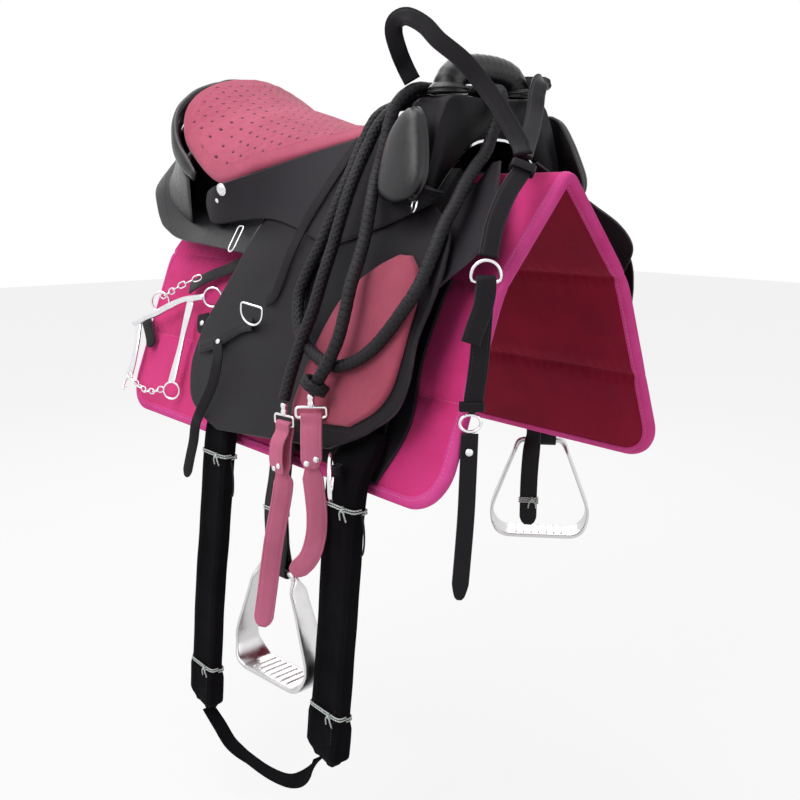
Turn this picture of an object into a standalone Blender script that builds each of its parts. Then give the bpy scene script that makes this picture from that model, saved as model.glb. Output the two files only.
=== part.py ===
"""Australian stock saddle with its pad, girths, stirrups and hung bridle.

Metres. +X points to the horse's head, +Y to its left side, +Z up. The origin is on
the underside of the pad's ridge, at mid length, where the pad rests on the back.
"""
import math

import bmesh
import bpy
import numpy as np
from mathutils import Matrix

# Clearances between pieces that touch
TOUCH = 0.0005
WIRE_TOUCH = 0.0004

# The horse's back that everything lies on, as a section across it
RIDGE_RADIUS = 0.020
UPPER_SLOPE_DEG = 50.0
UPPER_LENGTH = 0.130
SHOULDER_RADIUS = 0.140
LOWER_SLOPE_DEG = 70.0

# Height of that section's ridge above the pad's underside, where the origin is
DATUM_HEIGHT = 0.018

# Pad
PAD_LENGTH = 0.788
PAD_DROP = 0.430
PAD_THICKNESS = 0.014
PAD_SEAM_DEPTH = 0.0045
PAD_EDGE_THICKNESS = 0.008
PAD_CORNER_RADIUS = 0.055
PAD_SEAMS = (0.165, 0.305)

# Panels and tree
PANEL_THICKNESS = 0.0375
PANEL_TOP = 0.034
PANEL_BOTTOM = 0.147
PANEL_REAR = -0.300
PANEL_FRONT = 0.290
BAR_THICKNESS = 0.0075
BAR_SHOULDER = 0.0045
BAR_TOP = 0.046
BAR_BOTTOM = 0.134
BAR_REAR = -0.225
BAR_FRONT = 0.285
SEAT_PLATE_THICKNESS = 0.006

# Leather weights
SKIRT_LEATHER = 0.004
FLAP_LEATHER = 0.0045
FLAP_CLOSING = 0.010
SWEAT_LEATHER = 0.003
BILLET_LEATHER = 0.003
SUEDE_THICKNESS = 0.006
SEAT_COVER_THICKNESS = 0.003
SEAT_FOAM_THICKNESS = 0.014

# Pommel, handle and knee pads
POMMEL_REAR = 0.1515
POMMEL_FRONT = 0.276
GULLET_PLATE_THICKNESS = 0.003
GULLET_PLATE_WIDTH = 0.040
HANDLE_RADIUS = 0.0175
HANDLE_X = 0.246
HANDLE_FOOT = 0.056
HANDLE_BASE = 0.0875
HANDLE_RISE = 0.0325
COLLAR_RADIUS = 0.0245
COLLAR_HEIGHT = 0.0125

# Stirrups and their leathers; the left stirrup hangs higher and turned
STIRRUP_BAR_RADIUS = 0.003
STIRRUP_BAR_X = 0.130
STIRRUP_BAR_HALF = 0.052
STIRRUP_BAR_DROP = 0.1475
STIRRUP_BAR_D = 0.0365
LEATHER_WIDTH = 0.045
LEATHER_THICKNESS = 0.0025
STIRRUP_WIDTH = 0.150
STIRRUP_TREAD = 0.112
STIRRUP_HEIGHT = 0.150
STIRRUP_NECK = 0.062
STIRRUP_PIN_RADIUS = 0.0045
LEATHER_X = {-1: 0.108, 1: 0.152}
STIRRUP_Y = {-1: 0.223, 1: 0.2265}
STIRRUP_TOP_Z = {-1: -0.510, 1: -0.397}
STIRRUP_YAW_DEG = {-1: 6.0, 1: 44.0}

LEATHER_TAIL = ((0.157, 0.2072, -0.3535), (0.157, 0.2062, -0.375), (0.157, 0.2000, -0.412),
                (0.157, 0.1966, -0.460), (0.157, 0.1966, -0.526))
LEATHER_TAIL_WIDTH = 0.026
LEATHER_TAIL_DEG = 41.0

# Girths, hung on the right side only
BILLET_WIDTH = 0.038
BILLET_TOP = 0.170
BILLET_BOTTOM = 0.372
GIRTH_FRONT_X = 0.262
GIRTH_REAR_X = -0.046
GIRTH_Y = 0.2165
GIRTH_WIDTH = 0.064
GIRTH_THICKNESS = 0.020
GIRTH_RING_RADIUS = 0.0255

# Bridle, reins and bit; FACE is the level way the hung pieces look, ALONG runs across it
BRIDLE_WIDTH = 0.021
BRIDLE_THICKNESS = 0.004
REIN_DIAMETER = 0.015
REIN_STRAP_WIDTH = 0.025
REIN_STRAP_THICKNESS = 0.003
REIN_EYE_DROP = 0.031
BIT_BAR_RADIUS = 0.0050
BIT_HANG = (-0.210, 0.203, 0.0125)
GIRTH_HANG = (0.190, -0.2165, -0.348)
BIT_RING_WIRE = 0.0018
CONCHO_RADIUS = 0.0088
FACE = (0.777, -0.629, 0.0)
ALONG = (0.629, 0.777, 0.0)
UP_FACE = (0.761, -0.616, 0.203)


# Points of the section


def side_section(t, d):
    """Across-distance, height and slope angle at t metres down the side, d proud of it."""
    upper = math.radians(UPPER_SLOPE_DEG)
    lower = math.radians(LOWER_SLOPE_DEG)
    ridge_end = RIDGE_RADIUS * upper
    slope_end = ridge_end + UPPER_LENGTH
    shoulder_end = slope_end + SHOULDER_RADIUS * (lower - upper)
    t = np.asarray(t, float)
    d = np.asarray(d, float)
    on_ridge = np.clip(t, None, ridge_end) / RIDGE_RADIUS
    on_slope = np.clip(t - ridge_end, 0.0, UPPER_LENGTH)
    turn = np.clip(t - slope_end, 0.0, shoulder_end - slope_end) / SHOULDER_RADIUS
    below = np.clip(t - shoulder_end, 0.0, None)
    y = RIDGE_RADIUS * np.sin(on_ridge) + on_slope * math.cos(upper)
    z = -RIDGE_RADIUS * (1.0 - np.cos(on_ridge)) - on_slope * math.sin(upper)
    y = y + SHOULDER_RADIUS * (np.sin(upper + turn) - math.sin(upper)) + below * math.cos(lower)
    z = z - SHOULDER_RADIUS * (math.cos(upper) - np.cos(upper + turn)) - below * math.sin(lower)
    angle = on_ridge + turn
    return y + d * np.sin(angle), z + d * np.cos(angle), angle


def side_point(x, t, d, side):
    """Point at x along the horse and t down its side, d proud; side is -1 right, +1 left."""
    y, z, _ = side_section(np.abs(t), d)
    x, y, z = np.broadcast_arrays(np.asarray(x, float), side * np.sign(t) * y, z)
    return np.stack([x, y, z], axis=-1)


def smooth(points, count):
    """Points spaced evenly by parameter on a smooth curve through the given ones."""
    points = np.asarray(points, float)
    padded = np.vstack([2 * points[0] - points[1], points, 2 * points[-1] - points[-2]])
    u = np.linspace(0.0, len(points) - 1.0, count)
    k = np.minimum(u.astype(int), len(points) - 2)
    f = (u - k)[:, None]
    a, b, c, e = padded[k], padded[k + 1], padded[k + 2], padded[k + 3]
    return 0.5 * (2 * b + (c - a) * f + (2 * a - 5 * b + 4 * c - e) * f ** 2
                  + (3 * b - a - 3 * c + e) * f ** 3)


def even_smooth(points, count):
    """Points at equal distances along a smooth curve through the given ones."""
    fine = smooth(points, 40 * len(points))
    run = np.concatenate([[0.0], np.cumsum(np.linalg.norm(np.diff(fine, axis=0), axis=1))])
    want = np.linspace(0.0, run[-1], count)
    return np.stack([np.interp(want, run, fine[:, k]) for k in range(3)], axis=-1)


def unit(vector):
    vector = np.asarray(vector, float)
    return vector / np.linalg.norm(vector, axis=-1, keepdims=True)


def bump(u):
    """One at the middle of 0..1, nought at both ends, round on top."""
    return 1.0 - (2.0 * u - 1.0) ** 2


# Materials and objects


def make_material(name, colour, roughness, metallic=0.0):
    material = bpy.data.materials.new(name)
    material.use_nodes = True
    shader = material.node_tree.nodes["Principled BSDF"]
    shader.inputs["Base Color"].default_value = (*colour, 1.0)
    shader.inputs["Roughness"].default_value = roughness
    shader.inputs["Metallic"].default_value = metallic
    material.diffuse_color = (*colour, 1.0)
    return material


PINK_FABRIC = ((0.90, 0.06, 0.30), 0.85)
PINK_SUEDE = ((0.72, 0.14, 0.28), 0.90)
BLACK_LEATHER = ((0.012, 0.011, 0.013), 0.35)
MATTE_LEATHER = ((0.030, 0.028, 0.032), 0.60)
FELT = ((0.10, 0.09, 0.09), 0.95)
FOAM = ((0.75, 0.70, 0.55), 0.90)
TREE_PLASTIC = ((0.05, 0.05, 0.055), 0.50)
PINK_LEATHER = ((0.86, 0.22, 0.36), 0.55)
STEEL = ((0.75, 0.75, 0.77), 0.20, 1.0)
ALUMINIUM = ((0.80, 0.80, 0.80), 0.40, 1.0)
WEBBING = ((0.008, 0.007, 0.008), 0.80)
ROPE = ((0.010, 0.009, 0.010), 0.75)
STRING = ((0.75, 0.80, 0.78), 0.70)


def add_object(name, data, finish):
    thing = bpy.data.objects.new(name, data)
    bpy.context.scene.collection.objects.link(thing)
    data.materials.append(make_material(name + "_finish", *finish))
    return thing


def add_mesh(name, vertices, faces, finish, smooth_deg=40.0):
    """A closed mesh with its doubles merged, its faces outwards and round faces smooth."""
    mesh = bpy.data.meshes.new(name)
    mesh.from_pydata([tuple(v) for v in np.asarray(vertices, float)], [], faces)
    work = bmesh.new()
    work.from_mesh(mesh)
    bmesh.ops.remove_doubles(work, verts=work.verts, dist=1e-5)
    bmesh.ops.dissolve_degenerate(work, edges=work.edges, dist=1e-6)
    bmesh.ops.recalc_face_normals(work, faces=work.faces)
    work.to_mesh(mesh)
    work.free()
    mesh.shade_smooth()
    mesh.set_sharp_from_angle(angle=math.radians(smooth_deg))
    return add_object(name, mesh, finish)


def grid_faces(rows, columns, start=0):
    k = start + np.arange(rows * columns).reshape(rows, columns)
    return [(int(k[i, j]), int(k[i + 1, j]), int(k[i + 1, j + 1]), int(k[i, j + 1]))
            for i in range(rows - 1) for j in range(columns - 1)]


def rim_loop(rows, columns):
    """Vertex numbers round the border of a grid."""
    k = np.arange(rows * columns).reshape(rows, columns)
    return np.concatenate([k[0, :-1], k[:-1, -1], k[-1, :0:-1], k[:0:-1, 0]]).tolist()


def between(name, outer, inner, finish):
    """A closed solid between two grids of points, joined round their rims."""
    rows, columns = outer.shape[:2]
    count = rows * columns
    faces = grid_faces(rows, columns)
    faces += [(a, d, c, b) for a, b, c, d in grid_faces(rows, columns, count)]
    rim = rim_loop(rows, columns)
    for a, b in zip(rim, rim[1:] + rim[:1]):
        faces.append((a, b, b + count, a + count))
    return add_mesh(name, np.vstack([outer.reshape(-1, 3), inner.reshape(-1, 3)]), faces, finish)


def leather_sheet(name, grid, thickness, finish):
    """One thickness of leather: its flesh side is the grid, and it grows outwards."""
    rows, columns = grid.shape[:2]
    mesh = bpy.data.meshes.new(name)
    mesh.from_pydata([tuple(v) for v in grid.reshape(-1, 3)], [], grid_faces(rows, columns))
    mesh.shade_smooth()
    mesh.set_sharp_from_angle(angle=math.radians(40.0))
    sheet = add_object(name, mesh, finish)
    body = sheet.modifiers.new("leather", "SOLIDIFY")
    body.thickness = thickness
    body.offset = 1.0
    body.use_even_offset = True
    return sheet


def side_grid(rear, front, rows, columns, d, side):
    """Grid on the side: each row runs from the rear edge to the front edge.

    Rear and front are outlines as (x, t) points from the top down, and d is the
    height above the back, a number or a function of x and t.
    """
    rear = smooth(rear, rows)
    front = smooth(front, rows)
    f = np.linspace(0.0, 1.0, columns)[None, :]
    x = rear[:, :1] * (1 - f) + front[:, :1] * f
    t = rear[:, 1:] * (1 - f) + front[:, 1:] * f
    height = d(x, t) if callable(d) else np.full_like(x, d)
    grid = side_point(x, t, height, side)
    return grid if side < 0 else grid[:, ::-1]


def sections_solid(name, sections, finish, closed=False, smooth_deg=40.0):
    """A closed solid through rings of points; a closed one joins its last ring to its first."""
    count, ring = sections.shape[:2]
    faces = []
    last = count if closed else count - 1
    for i in range(last):
        n = (i + 1) % count
        for j in range(ring):
            m = (j + 1) % ring
            faces.append((i * ring + j, n * ring + j, n * ring + m, i * ring + m))
    if not closed:
        faces.append(tuple(range(ring)))
        faces.append(tuple(reversed(range((count - 1) * ring, count * ring))))
    return add_mesh(name, sections.reshape(-1, 3), faces, finish, smooth_deg)


def path_tangents(path, closed=False):
    if closed:
        return unit(np.roll(path, -1, axis=0) - np.roll(path, 1, axis=0))
    return unit(np.gradient(path, axis=0))


def strap_sections(path, across, width, thickness, closed=False):
    """Rectangles of a strap along a path; across gives the way its width runs."""
    tangent = path_tangents(path, closed)
    across = np.broadcast_to(np.asarray(across, float), path.shape)
    across = unit(across - (across * tangent).sum(1, keepdims=True) * tangent)
    proud = np.cross(tangent, across)
    w = np.broadcast_to(np.asarray(width, float), (len(path),))[:, None] / 2
    h = thickness / 2
    corners = [path + across * w + proud * h, path - across * w + proud * h,
               path - across * w - proud * h, path + across * w - proud * h]
    return np.stack(corners, axis=1)


def strap(name, path, across, width, thickness, finish, closed=False):
    return sections_solid(name, strap_sections(path, across, width, thickness, closed),
                          finish, closed, smooth_deg=50.0)


def join_solids(name, pieces):
    """Separate solids kept under one name."""
    base = pieces[0]
    mesh = base.data
    work = bmesh.new()
    for piece in pieces:
        work.from_mesh(piece.data)
    work.to_mesh(mesh)
    work.free()
    for piece in pieces[1:]:
        bpy.data.objects.remove(piece)
    base.name = name
    mesh.name = name
    return base


def fuse(base, pieces):
    """Boolean union of a piece with others that are hidden afterwards."""
    extra = join_solids(base.name + "_fused", pieces)
    extra.hide_render = True
    extra.display_type = "WIRE"
    union = base.modifiers.new("fused", "BOOLEAN")
    union.operation = "UNION"
    union.solver = "EXACT"
    union.use_self = True
    union.object = extra
    return base


def tube(name, path, radius, finish, closed=False, sides=8):
    """Round bar along a path as a mesh, its rings turned as little as possible."""
    tangent = path_tangents(path, closed)
    side = unit(np.cross(tangent[0], [0.0, 0.0, 1.0] if abs(tangent[0][2]) < 0.9 else [1.0, 0.0, 0.0]))
    a = np.linspace(0.0, 2 * math.pi, sides, endpoint=False)[:, None]
    rings = []
    for point, way in zip(path, tangent):
        side = unit(side - (side @ way) * way)
        rings.append(point + radius * (np.cos(a) * side + np.sin(a) * np.cross(way, side)))
    return sections_solid(name, np.array(rings), finish, closed)


def wires(name, finish, rings=(), bars=(), sides=1):
    """Round wires as one object: rings are closed and bars open, each with its radius and path."""
    curve = bpy.data.curves.new(name, "CURVE")
    curve.dimensions = "3D"
    curve.bevel_depth = (list(rings) + list(bars))[0][0]
    curve.bevel_resolution = sides
    curve.use_fill_caps = True
    for closed, group in ((True, rings), (False, bars)):
        for radius, path in group:
            spline = curve.splines.new("POLY")
            spline.points.add(len(path) - 1)
            spline.points.foreach_set("co", np.column_stack([path, np.ones(len(path))]).ravel())
            spline.points.foreach_set("radius", np.full(len(path), radius / curve.bevel_depth))
            spline.use_cyclic_u = closed
    return add_object(name, curve, finish)


def ring_path(centre, radius, axis, count, squash=1.0):
    """Points round a circle, or an oval with squash below 1 along its second axis."""
    axis = unit(axis)
    first = unit(np.cross(axis, [0.0, 0.0, 1.0] if abs(axis[2]) < 0.9 else [1.0, 0.0, 0.0]))
    second = np.cross(axis, first)
    a = np.linspace(0.0, 2 * math.pi, count, endpoint=False)[:, None]
    return np.asarray(centre) + radius * (np.cos(a) * first + squash * np.sin(a) * second)


def dee_path(top, down, across, width, length, corner):
    """A dee: a straight bar at the top and a round bow below it."""
    half = width / 2
    bow = np.linspace(0.0, math.pi, 7)
    flat = [(-half + corner, 0.0), (half - corner, 0.0)]
    side = [(half, corner)]
    reach = length - half
    arc = [(half * math.cos(a), reach + half * math.sin(a)) for a in bow]
    outline = flat + side + arc + [(-half, corner)]
    top = np.asarray(top, float)
    return np.array([top + unit(across) * u + unit(down) * v for u, v in outline])


# Heights of the layers above the back, each from the one under it


PAD_UNDER_D = -DATUM_HEIGHT
PAD_D = PAD_UNDER_D + PAD_THICKNESS
PANEL_D = PAD_D + TOUCH
SWEAT_D = PAD_D + TOUCH
BILLET_D = SWEAT_D + SWEAT_LEATHER - 0.0004
BAR_D = PANEL_D + PANEL_THICKNESS + TOUCH
REAR_SKIRT_D = BAR_D + BAR_THICKNESS + TOUCH
FLAP_D = BAR_D + BAR_THICKNESS + BAR_SHOULDER + TOUCH
SUEDE_D = FLAP_D + FLAP_LEATHER + TOUCH
SEAT_SKIRT_D = FLAP_D + FLAP_LEATHER + TOUCH

# Half outline of the seat from the cantle forward: centre line x, z and rim x, y, z
SEAT_CENTRE = ((-0.290, 0.157), (-0.268, 0.147), (-0.238, 0.133), (-0.203, 0.118),
               (-0.163, 0.104), (-0.120, 0.092), (-0.060, 0.076), (0.000, 0.066),
               (0.060, 0.065), (0.110, 0.070), (0.150, 0.078))
SEAT_RIM = ((-0.300, 0.030, 0.152), (-0.304, 0.078, 0.138), (-0.296, 0.116, 0.110),
            (-0.274, 0.139, 0.075), (-0.236, 0.150, 0.035), (-0.145, 0.152, -0.012),
            (-0.075, 0.132, 0.003), (-0.005, 0.107, 0.020), (0.055, 0.087, 0.034),
            (0.110, 0.074, 0.045), (0.150, 0.070, 0.052))
SEAT_FULLNESS = 0.55

# Seat skirt: upper edge as (x, y, z) and lower edge as (x, t)
SKIRT_HIGH = ((-0.172, 0.151, -0.022), (-0.130, 0.1535, -0.013), (-0.070, 0.1345, 0.001),
              (-0.005, 0.1095, 0.018), (0.055, 0.0895, 0.032), (0.110, 0.0785, 0.042),
              (0.150, 0.0755, 0.048), (0.190, 0.0905, 0.041), (0.230, 0.1095, 0.022),
              (0.262, 0.1215, -0.003), (0.285, 0.1275, -0.022))
SKIRT_LOW = ((-0.222, 0.124), (-0.182, 0.144), (-0.100, 0.136), (-0.030, 0.134),
             (0.050, 0.149), (0.100, 0.159), (0.142, 0.164), (0.200, 0.149),
             (0.246, 0.127), (0.278, 0.107), (0.293, 0.088))

# Flap and its suede insert, rear and front outlines as (x, t) from the top down
FLAP_REAR = ((-0.050, 0.106), (-0.053, 0.135), (-0.062, 0.175), (-0.087, 0.220),
             (-0.120, 0.275), (-0.134, 0.325), (-0.130, 0.356), (-0.112, 0.386),
             (-0.072, 0.405), (-0.018, 0.418))
FLAP_FRONT = ((0.290, 0.106), (0.333, 0.135), (0.357, 0.172), (0.355, 0.208),
              (0.345, 0.250), (0.347, 0.298), (0.337, 0.333), (0.300, 0.362),
              (0.268, 0.379), (0.235, 0.394))
SUEDE_REAR = ((0.286, 0.169), (0.248, 0.183), (0.213, 0.203), (0.188, 0.235),
              (0.165, 0.287), (0.156, 0.325), (0.150, 0.352), (0.155, 0.374))
SUEDE_FRONT = ((0.305, 0.169), (0.326, 0.184), (0.334, 0.208), (0.332, 0.240),
               (0.330, 0.280), (0.325, 0.312), (0.306, 0.338), (0.268, 0.362))
SWEAT_REAR = ((-0.050, 0.168), (-0.065, 0.210), (-0.090, 0.280), (-0.090, 0.340),
              (-0.020, 0.408))
SWEAT_FRONT = ((0.318, 0.168), (0.312, 0.210), (0.308, 0.270), (0.316, 0.345),
               (0.286, 0.418))
FRONT_SKIRT_REAR = ((0.301, 0.018), (0.301, 0.055), (0.301, 0.090), (0.301, 0.125),
                    (0.300, 0.160), (0.300, 0.188))
FRONT_SKIRT_FRONT = ((0.312, 0.016), (0.336, 0.052), (0.358, 0.086), (0.380, 0.122),
                     (0.380, 0.158), (0.350, 0.190))
REAR_SKIRT_OUTLINE = ((0.000, -0.398), (0.050, -0.404), (0.092, -0.404), (0.121, -0.382),
                      (0.148, -0.352), (0.160, -0.315), (0.166, -0.280), (0.170, -0.205),
                      (0.174, -0.130), (0.178, -0.045))
DOME_LINE = ((-0.370, 0.000), (-0.370, 0.050), (-0.366, 0.080), (-0.340, 0.110),
             (-0.302, 0.130), (-0.262, 0.142))

# Right half of the pommel's arch from its foot to the top centre, as (y, z)
POMMEL_ARCH = ((0.1125, -0.034), (0.111, 0.000), (0.102, 0.034), (0.092, 0.062),
               (0.079, 0.0825), (0.056, 0.0855), (0.033, 0.0840), (0.0, 0.0830))

# Outline of a knee pad as (x, z), and the plane it leans on: y = KNEE_LEAN[0] - z * KNEE_LEAN[1]
KNEE_PAD_OUTLINE = ((0.226, -0.030), (0.220, 0.004), (0.224, 0.036), (0.235, 0.058),
                    (0.252, 0.070), (0.270, 0.063), (0.283, 0.040), (0.293, 0.012),
                    (0.298, -0.010), (0.293, -0.028), (0.278, -0.038), (0.252, -0.041))
KNEE_LEAN = (0.1262, 0.25)

# Stirrup outline, half, as (across, down) from the middle of the top bar to the tread
STIRRUP_OUTLINE = ((0.0, 0.0), (0.016, 0.0), (0.0285, 0.0004), (0.0350, 0.0055), (0.0400, 0.0170),
                   (0.0500, 0.0430), (0.0610, 0.0720), (0.0700, 0.0960), (0.0735, 0.1110),
                   (0.0715, 0.1270), (0.0640, 0.1400), (0.0520, 0.1465), (0.0380, 0.1475), (0.0190, 0.1475),
                   (0.0, 0.1475))


def pad_thickness_profile(t):
    """Share of the sewn depth at t down the side: one on a seam, nought between seams."""
    depth = np.zeros_like(t)
    for seam in PAD_SEAMS:
        depth = np.maximum(depth, np.clip(1.0 - np.abs(np.abs(t) - seam) / 0.022, 0.0, 1.0) ** 2)
    return depth


def make_pad():
    edges = [0.0, RIDGE_RADIUS * 0.8, 0.070]
    for seam in PAD_SEAMS:
        edges += [seam - 0.022, seam - 0.007, seam, seam + 0.007, seam + 0.022]
    edges += [0.235, 0.380, PAD_DROP - 0.018, PAD_DROP - 0.005, PAD_DROP]
    half = np.array(sorted(edges))
    t = np.concatenate([-half[:0:-1], half])
    corner = np.clip(np.abs(t) - (PAD_DROP - PAD_CORNER_RADIUS), 0.0, PAD_CORNER_RADIUS)
    inset = PAD_CORNER_RADIUS - np.sqrt(PAD_CORNER_RADIUS ** 2 - corner ** 2)
    reach = PAD_LENGTH / 2 - inset
    f = np.array([-1.0, -0.982, -0.94, -0.3, 0.3, 0.94, 0.982, 1.0])
    x = reach[:, None] * f[None, :]
    tt = np.broadcast_to(t[:, None], x.shape)
    sewn = pad_thickness_profile(tt) * PAD_SEAM_DEPTH
    from_end = PAD_LENGTH / 2 - np.abs(x) - inset[:, None]
    from_hem = PAD_DROP - np.abs(tt)
    near = np.minimum(np.clip(from_end, 0, None), np.clip(from_hem, 0, None))
    hem = np.clip(1.0 - near / 0.018, 0.0, 1.0) ** 2 * (PAD_THICKNESS - PAD_EDGE_THICKNESS) / 2
    pinch = np.maximum(sewn, hem)
    outer = side_point(x, tt, PAD_D - pinch, -1)
    inner = side_point(x, tt, PAD_UNDER_D + pinch, -1)
    between("saddle_pad", outer, inner, PINK_FABRIC)


def make_panel(side, name):
    """Flocked panel: flat on the pad, crowned above, thin at its border."""
    rear = [(PANEL_REAR, PANEL_TOP + 0.012), (PANEL_REAR - 0.012, 0.085), (PANEL_REAR, PANEL_BOTTOM - 0.012)]
    front = [(PANEL_FRONT, PANEL_TOP), (PANEL_FRONT + 0.004, 0.085), (PANEL_FRONT - 0.006, PANEL_BOTTOM)]
    rows, columns = 9, 9
    f = np.linspace(0, 1, rows)[:, None]
    g = np.linspace(0, 1, columns)[None, :]
    crown = np.minimum(1.0, 2.6 * np.sqrt(bump(f) * bump(g)))
    crown = np.clip(crown, 0.30, 1.0)
    height = PANEL_D + PANEL_THICKNESS * crown
    inner = side_grid(rear, front, rows, columns, PANEL_D, side)
    outer = side_grid(rear, front, rows, columns, lambda x, t: height, side)
    between(name, outer, inner, FELT)


def smoothstep(u):
    u = np.clip(u, 0.0, 1.0)
    return u * u * (3.0 - 2.0 * u)


def bar_outer(x):
    """Outer height of the tree's bars: thicker where the flaps hang."""
    rise = np.clip((x + 0.018) / 0.025, 0.0, 1.0)
    return BAR_D + BAR_THICKNESS + BAR_SHOULDER * rise


def flap_height(x, t):
    """The flap stands on the bars and closes towards the pad lower down."""
    return FLAP_D - FLAP_CLOSING * np.clip((t - 0.17) / 0.20, 0.0, 1.0) + 0.0 * x


def suede_height(x, t):
    return flap_height(x, t) + FLAP_LEATHER + TOUCH


def rear_skirt_height(x, t):
    """The rear skirt lies on the bars, then rises off them towards the rear."""
    lift = smoothstep((-0.235 - x) / 0.16)
    return REAR_SKIRT_D + 0.034 * lift * (1.0 - 0.5 * smoothstep((np.abs(t) - 0.09) / 0.07))


SEAT_ROWS = 14
SEAT_COLUMNS = 13


def seat_layer(depth, rows=0, columns=0):
    """Grid of the seat at a depth under its top face, with outer rows and columns left off."""
    centre = smooth(SEAT_CENTRE, SEAT_ROWS)
    rim = smooth(SEAT_RIM, SEAT_ROWS)
    v = np.sin(np.linspace(-0.5, 0.5, SEAT_COLUMNS) * math.pi)
    w = np.abs(v)
    mid = np.stack([centre[:, 0], np.zeros(SEAT_ROWS), centre[:, 1]], axis=-1)[:, None, :]
    edge = np.repeat(rim[:, None, :], SEAT_COLUMNS, axis=1)
    edge[:, :, 1] *= -np.sign(v)[None, :]
    out = w[None, :, None]
    grid = mid * (1 - out) + edge * out
    fall = 1.0 - (1.0 - w ** 2) ** SEAT_FULLNESS
    grid[:, :, 2] = mid[:, :, 2] * (1 - fall) + edge[:, :, 2] * fall
    normal = unit(np.cross(np.gradient(grid, axis=1), np.gradient(grid, axis=0)))
    normal[normal[:, :, 2] < 0] *= -1
    grid = grid - normal * depth
    grid[:, :, 0] = np.minimum(grid[:, :, 0], POMMEL_REAR - 3 * TOUCH)
    return grid[rows:SEAT_ROWS, columns:SEAT_COLUMNS - columns]


def make_seat():
    between("seat_cover", seat_layer(0.0), seat_layer(SEAT_COVER_THICKNESS), PINK_SUEDE)
    foam = SEAT_COVER_THICKNESS + 2 * TOUCH
    between("seat_foam", seat_layer(foam, 1, 1), seat_layer(foam + SEAT_FOAM_THICKNESS, 1, 1), FOAM)


def mirrored(profile):
    """Right foot to left foot from a half profile of (y, z) given foot first."""
    half = np.asarray(profile, float)
    left = half[::-1].copy()
    right = half.copy()
    right[:, 0] *= -1
    return np.vstack([right, left[1:]])


def make_tree():
    """One moulding: two bars on the panels and the seat plate, tied by six webs."""
    top = SEAT_COVER_THICKNESS + SEAT_FOAM_THICKNESS + 3 * TOUCH
    plate = between("tree", seat_layer(top, 2, 2), seat_layer(top + SEAT_PLATE_THICKNESS, 2, 2), TREE_PLASTIC)
    rear = [(BAR_REAR, BAR_TOP), (BAR_REAR - 0.006, 0.090), (BAR_REAR, BAR_BOTTOM)]
    front = [(BAR_FRONT, BAR_TOP), (BAR_FRONT, 0.090), (BAR_FRONT, BAR_BOTTOM)]
    middle = seat_layer(top + SEAT_PLATE_THICKNESS / 2, 2, 2)
    ribs = []
    for side in (-1, 1):
        ribs.append(between("bar", side_grid(rear, front, 4, 10, lambda x, t: bar_outer(x), side),
                            side_grid(rear, front, 4, 10, BAR_D, side), TREE_PLASTIC))
        for row in (4, 7, 10):
            high = middle[row, 2 if side > 0 else 6] - (0.0, 0.0, 0.0045)
            low = side_point(high[0], 0.056, 0.0385, side)
            ribs.append(strap("web", np.array([low, low * 0.5 + high * 0.5, high]),
                              (1.0, 0.0, 0.0), 0.046, 0.008, TREE_PLASTIC))
    fuse(plate, ribs)


def gullet_path():
    """Middle of the gullet plate's thickness, right foot to left foot."""
    d = BAR_D + BAR_THICKNESS + BAR_SHOULDER + 2 * TOUCH + GULLET_PLATE_THICKNESS / 2
    foot = [side_section(t, d)[:2] for t in (0.098, 0.080, 0.064)]
    half = np.array([[float(y), float(z)] for y, z in foot] + [[0.049, 0.0235], [0.024, 0.0335], [0.0, 0.0360]])
    return mirrored(half)


def make_gullet_plate():
    flat = gullet_path()
    path = np.column_stack([np.full(len(flat), 0.252), flat])
    strap("gullet_plate", even_smooth(path, 19), (1.0, 0.0, 0.0), GULLET_PLATE_WIDTH,
          GULLET_PLATE_THICKNESS, STEEL)


def make_pommel():
    """Leather-covered arch standing on the gullet plate and running back to the seat."""
    count = 17
    arch = mirrored(POMMEL_ARCH)
    arch = even_smooth(np.column_stack([np.zeros(len(arch)), arch]), count)[:, 1:]
    under = gullet_path()
    under = even_smooth(np.column_stack([np.zeros(len(under)), under]), count)
    way = path_tangents(under)
    proud = np.column_stack([-way[:, 2], way[:, 1]])
    under = under[:, 1:] + proud * (GULLET_PLATE_THICKNESS / 2 + 2 * TOUCH)
    v = np.sin(np.linspace(-0.5, 0.5, count) * math.pi)
    end_z, rim_y, rim_z = SEAT_CENTRE[-1][1], SEAT_RIM[-1][1], SEAT_RIM[-1][2]
    fall = 1.0 - (1.0 - v ** 2) ** SEAT_FULLNESS
    rear = np.column_stack([v * rim_y, end_z * (1 - fall) + rim_z * fall])
    rear_under = np.column_stack([v * (rim_y - 0.008), rear[:, 1] - 0.010])
    sections = []
    for x in (POMMEL_REAR, 0.172, 0.190, 0.206, 0.224, 0.250, 0.270, POMMEL_FRONT):
        b = float(smoothstep((x - POMMEL_REAR) / (0.224 - POMMEL_REAR)))
        top = rear * (1 - b) + arch * b
        low = rear_under * (1 - b) + under * b
        if x == POMMEL_FRONT:
            middle = (top + low) / 2
            top = middle + (top - middle) * 0.90
            low = middle + (low - middle) * 0.96
        ring = np.vstack([top, low[::-1]])
        sections.append(np.column_stack([np.full(len(ring), x), ring]))
    sections_solid("pommel", np.array(sections), BLACK_LEATHER)


def handle_line(count):
    """Middle of the grab handle, right foot to left foot, square on the pommel."""
    points = [(-HANDLE_FOOT, 0.0), (-HANDLE_FOOT + 0.0005, 0.32), (-0.044, 0.76), (-0.024, 0.95),
              (0.0, 1.0)]
    points += [(-y, h) for y, h in points[-2::-1]]
    line = np.array([(HANDLE_X, y, HANDLE_BASE + h * HANDLE_RISE) for y, h in points])
    return even_smooth(line, count)


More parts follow.
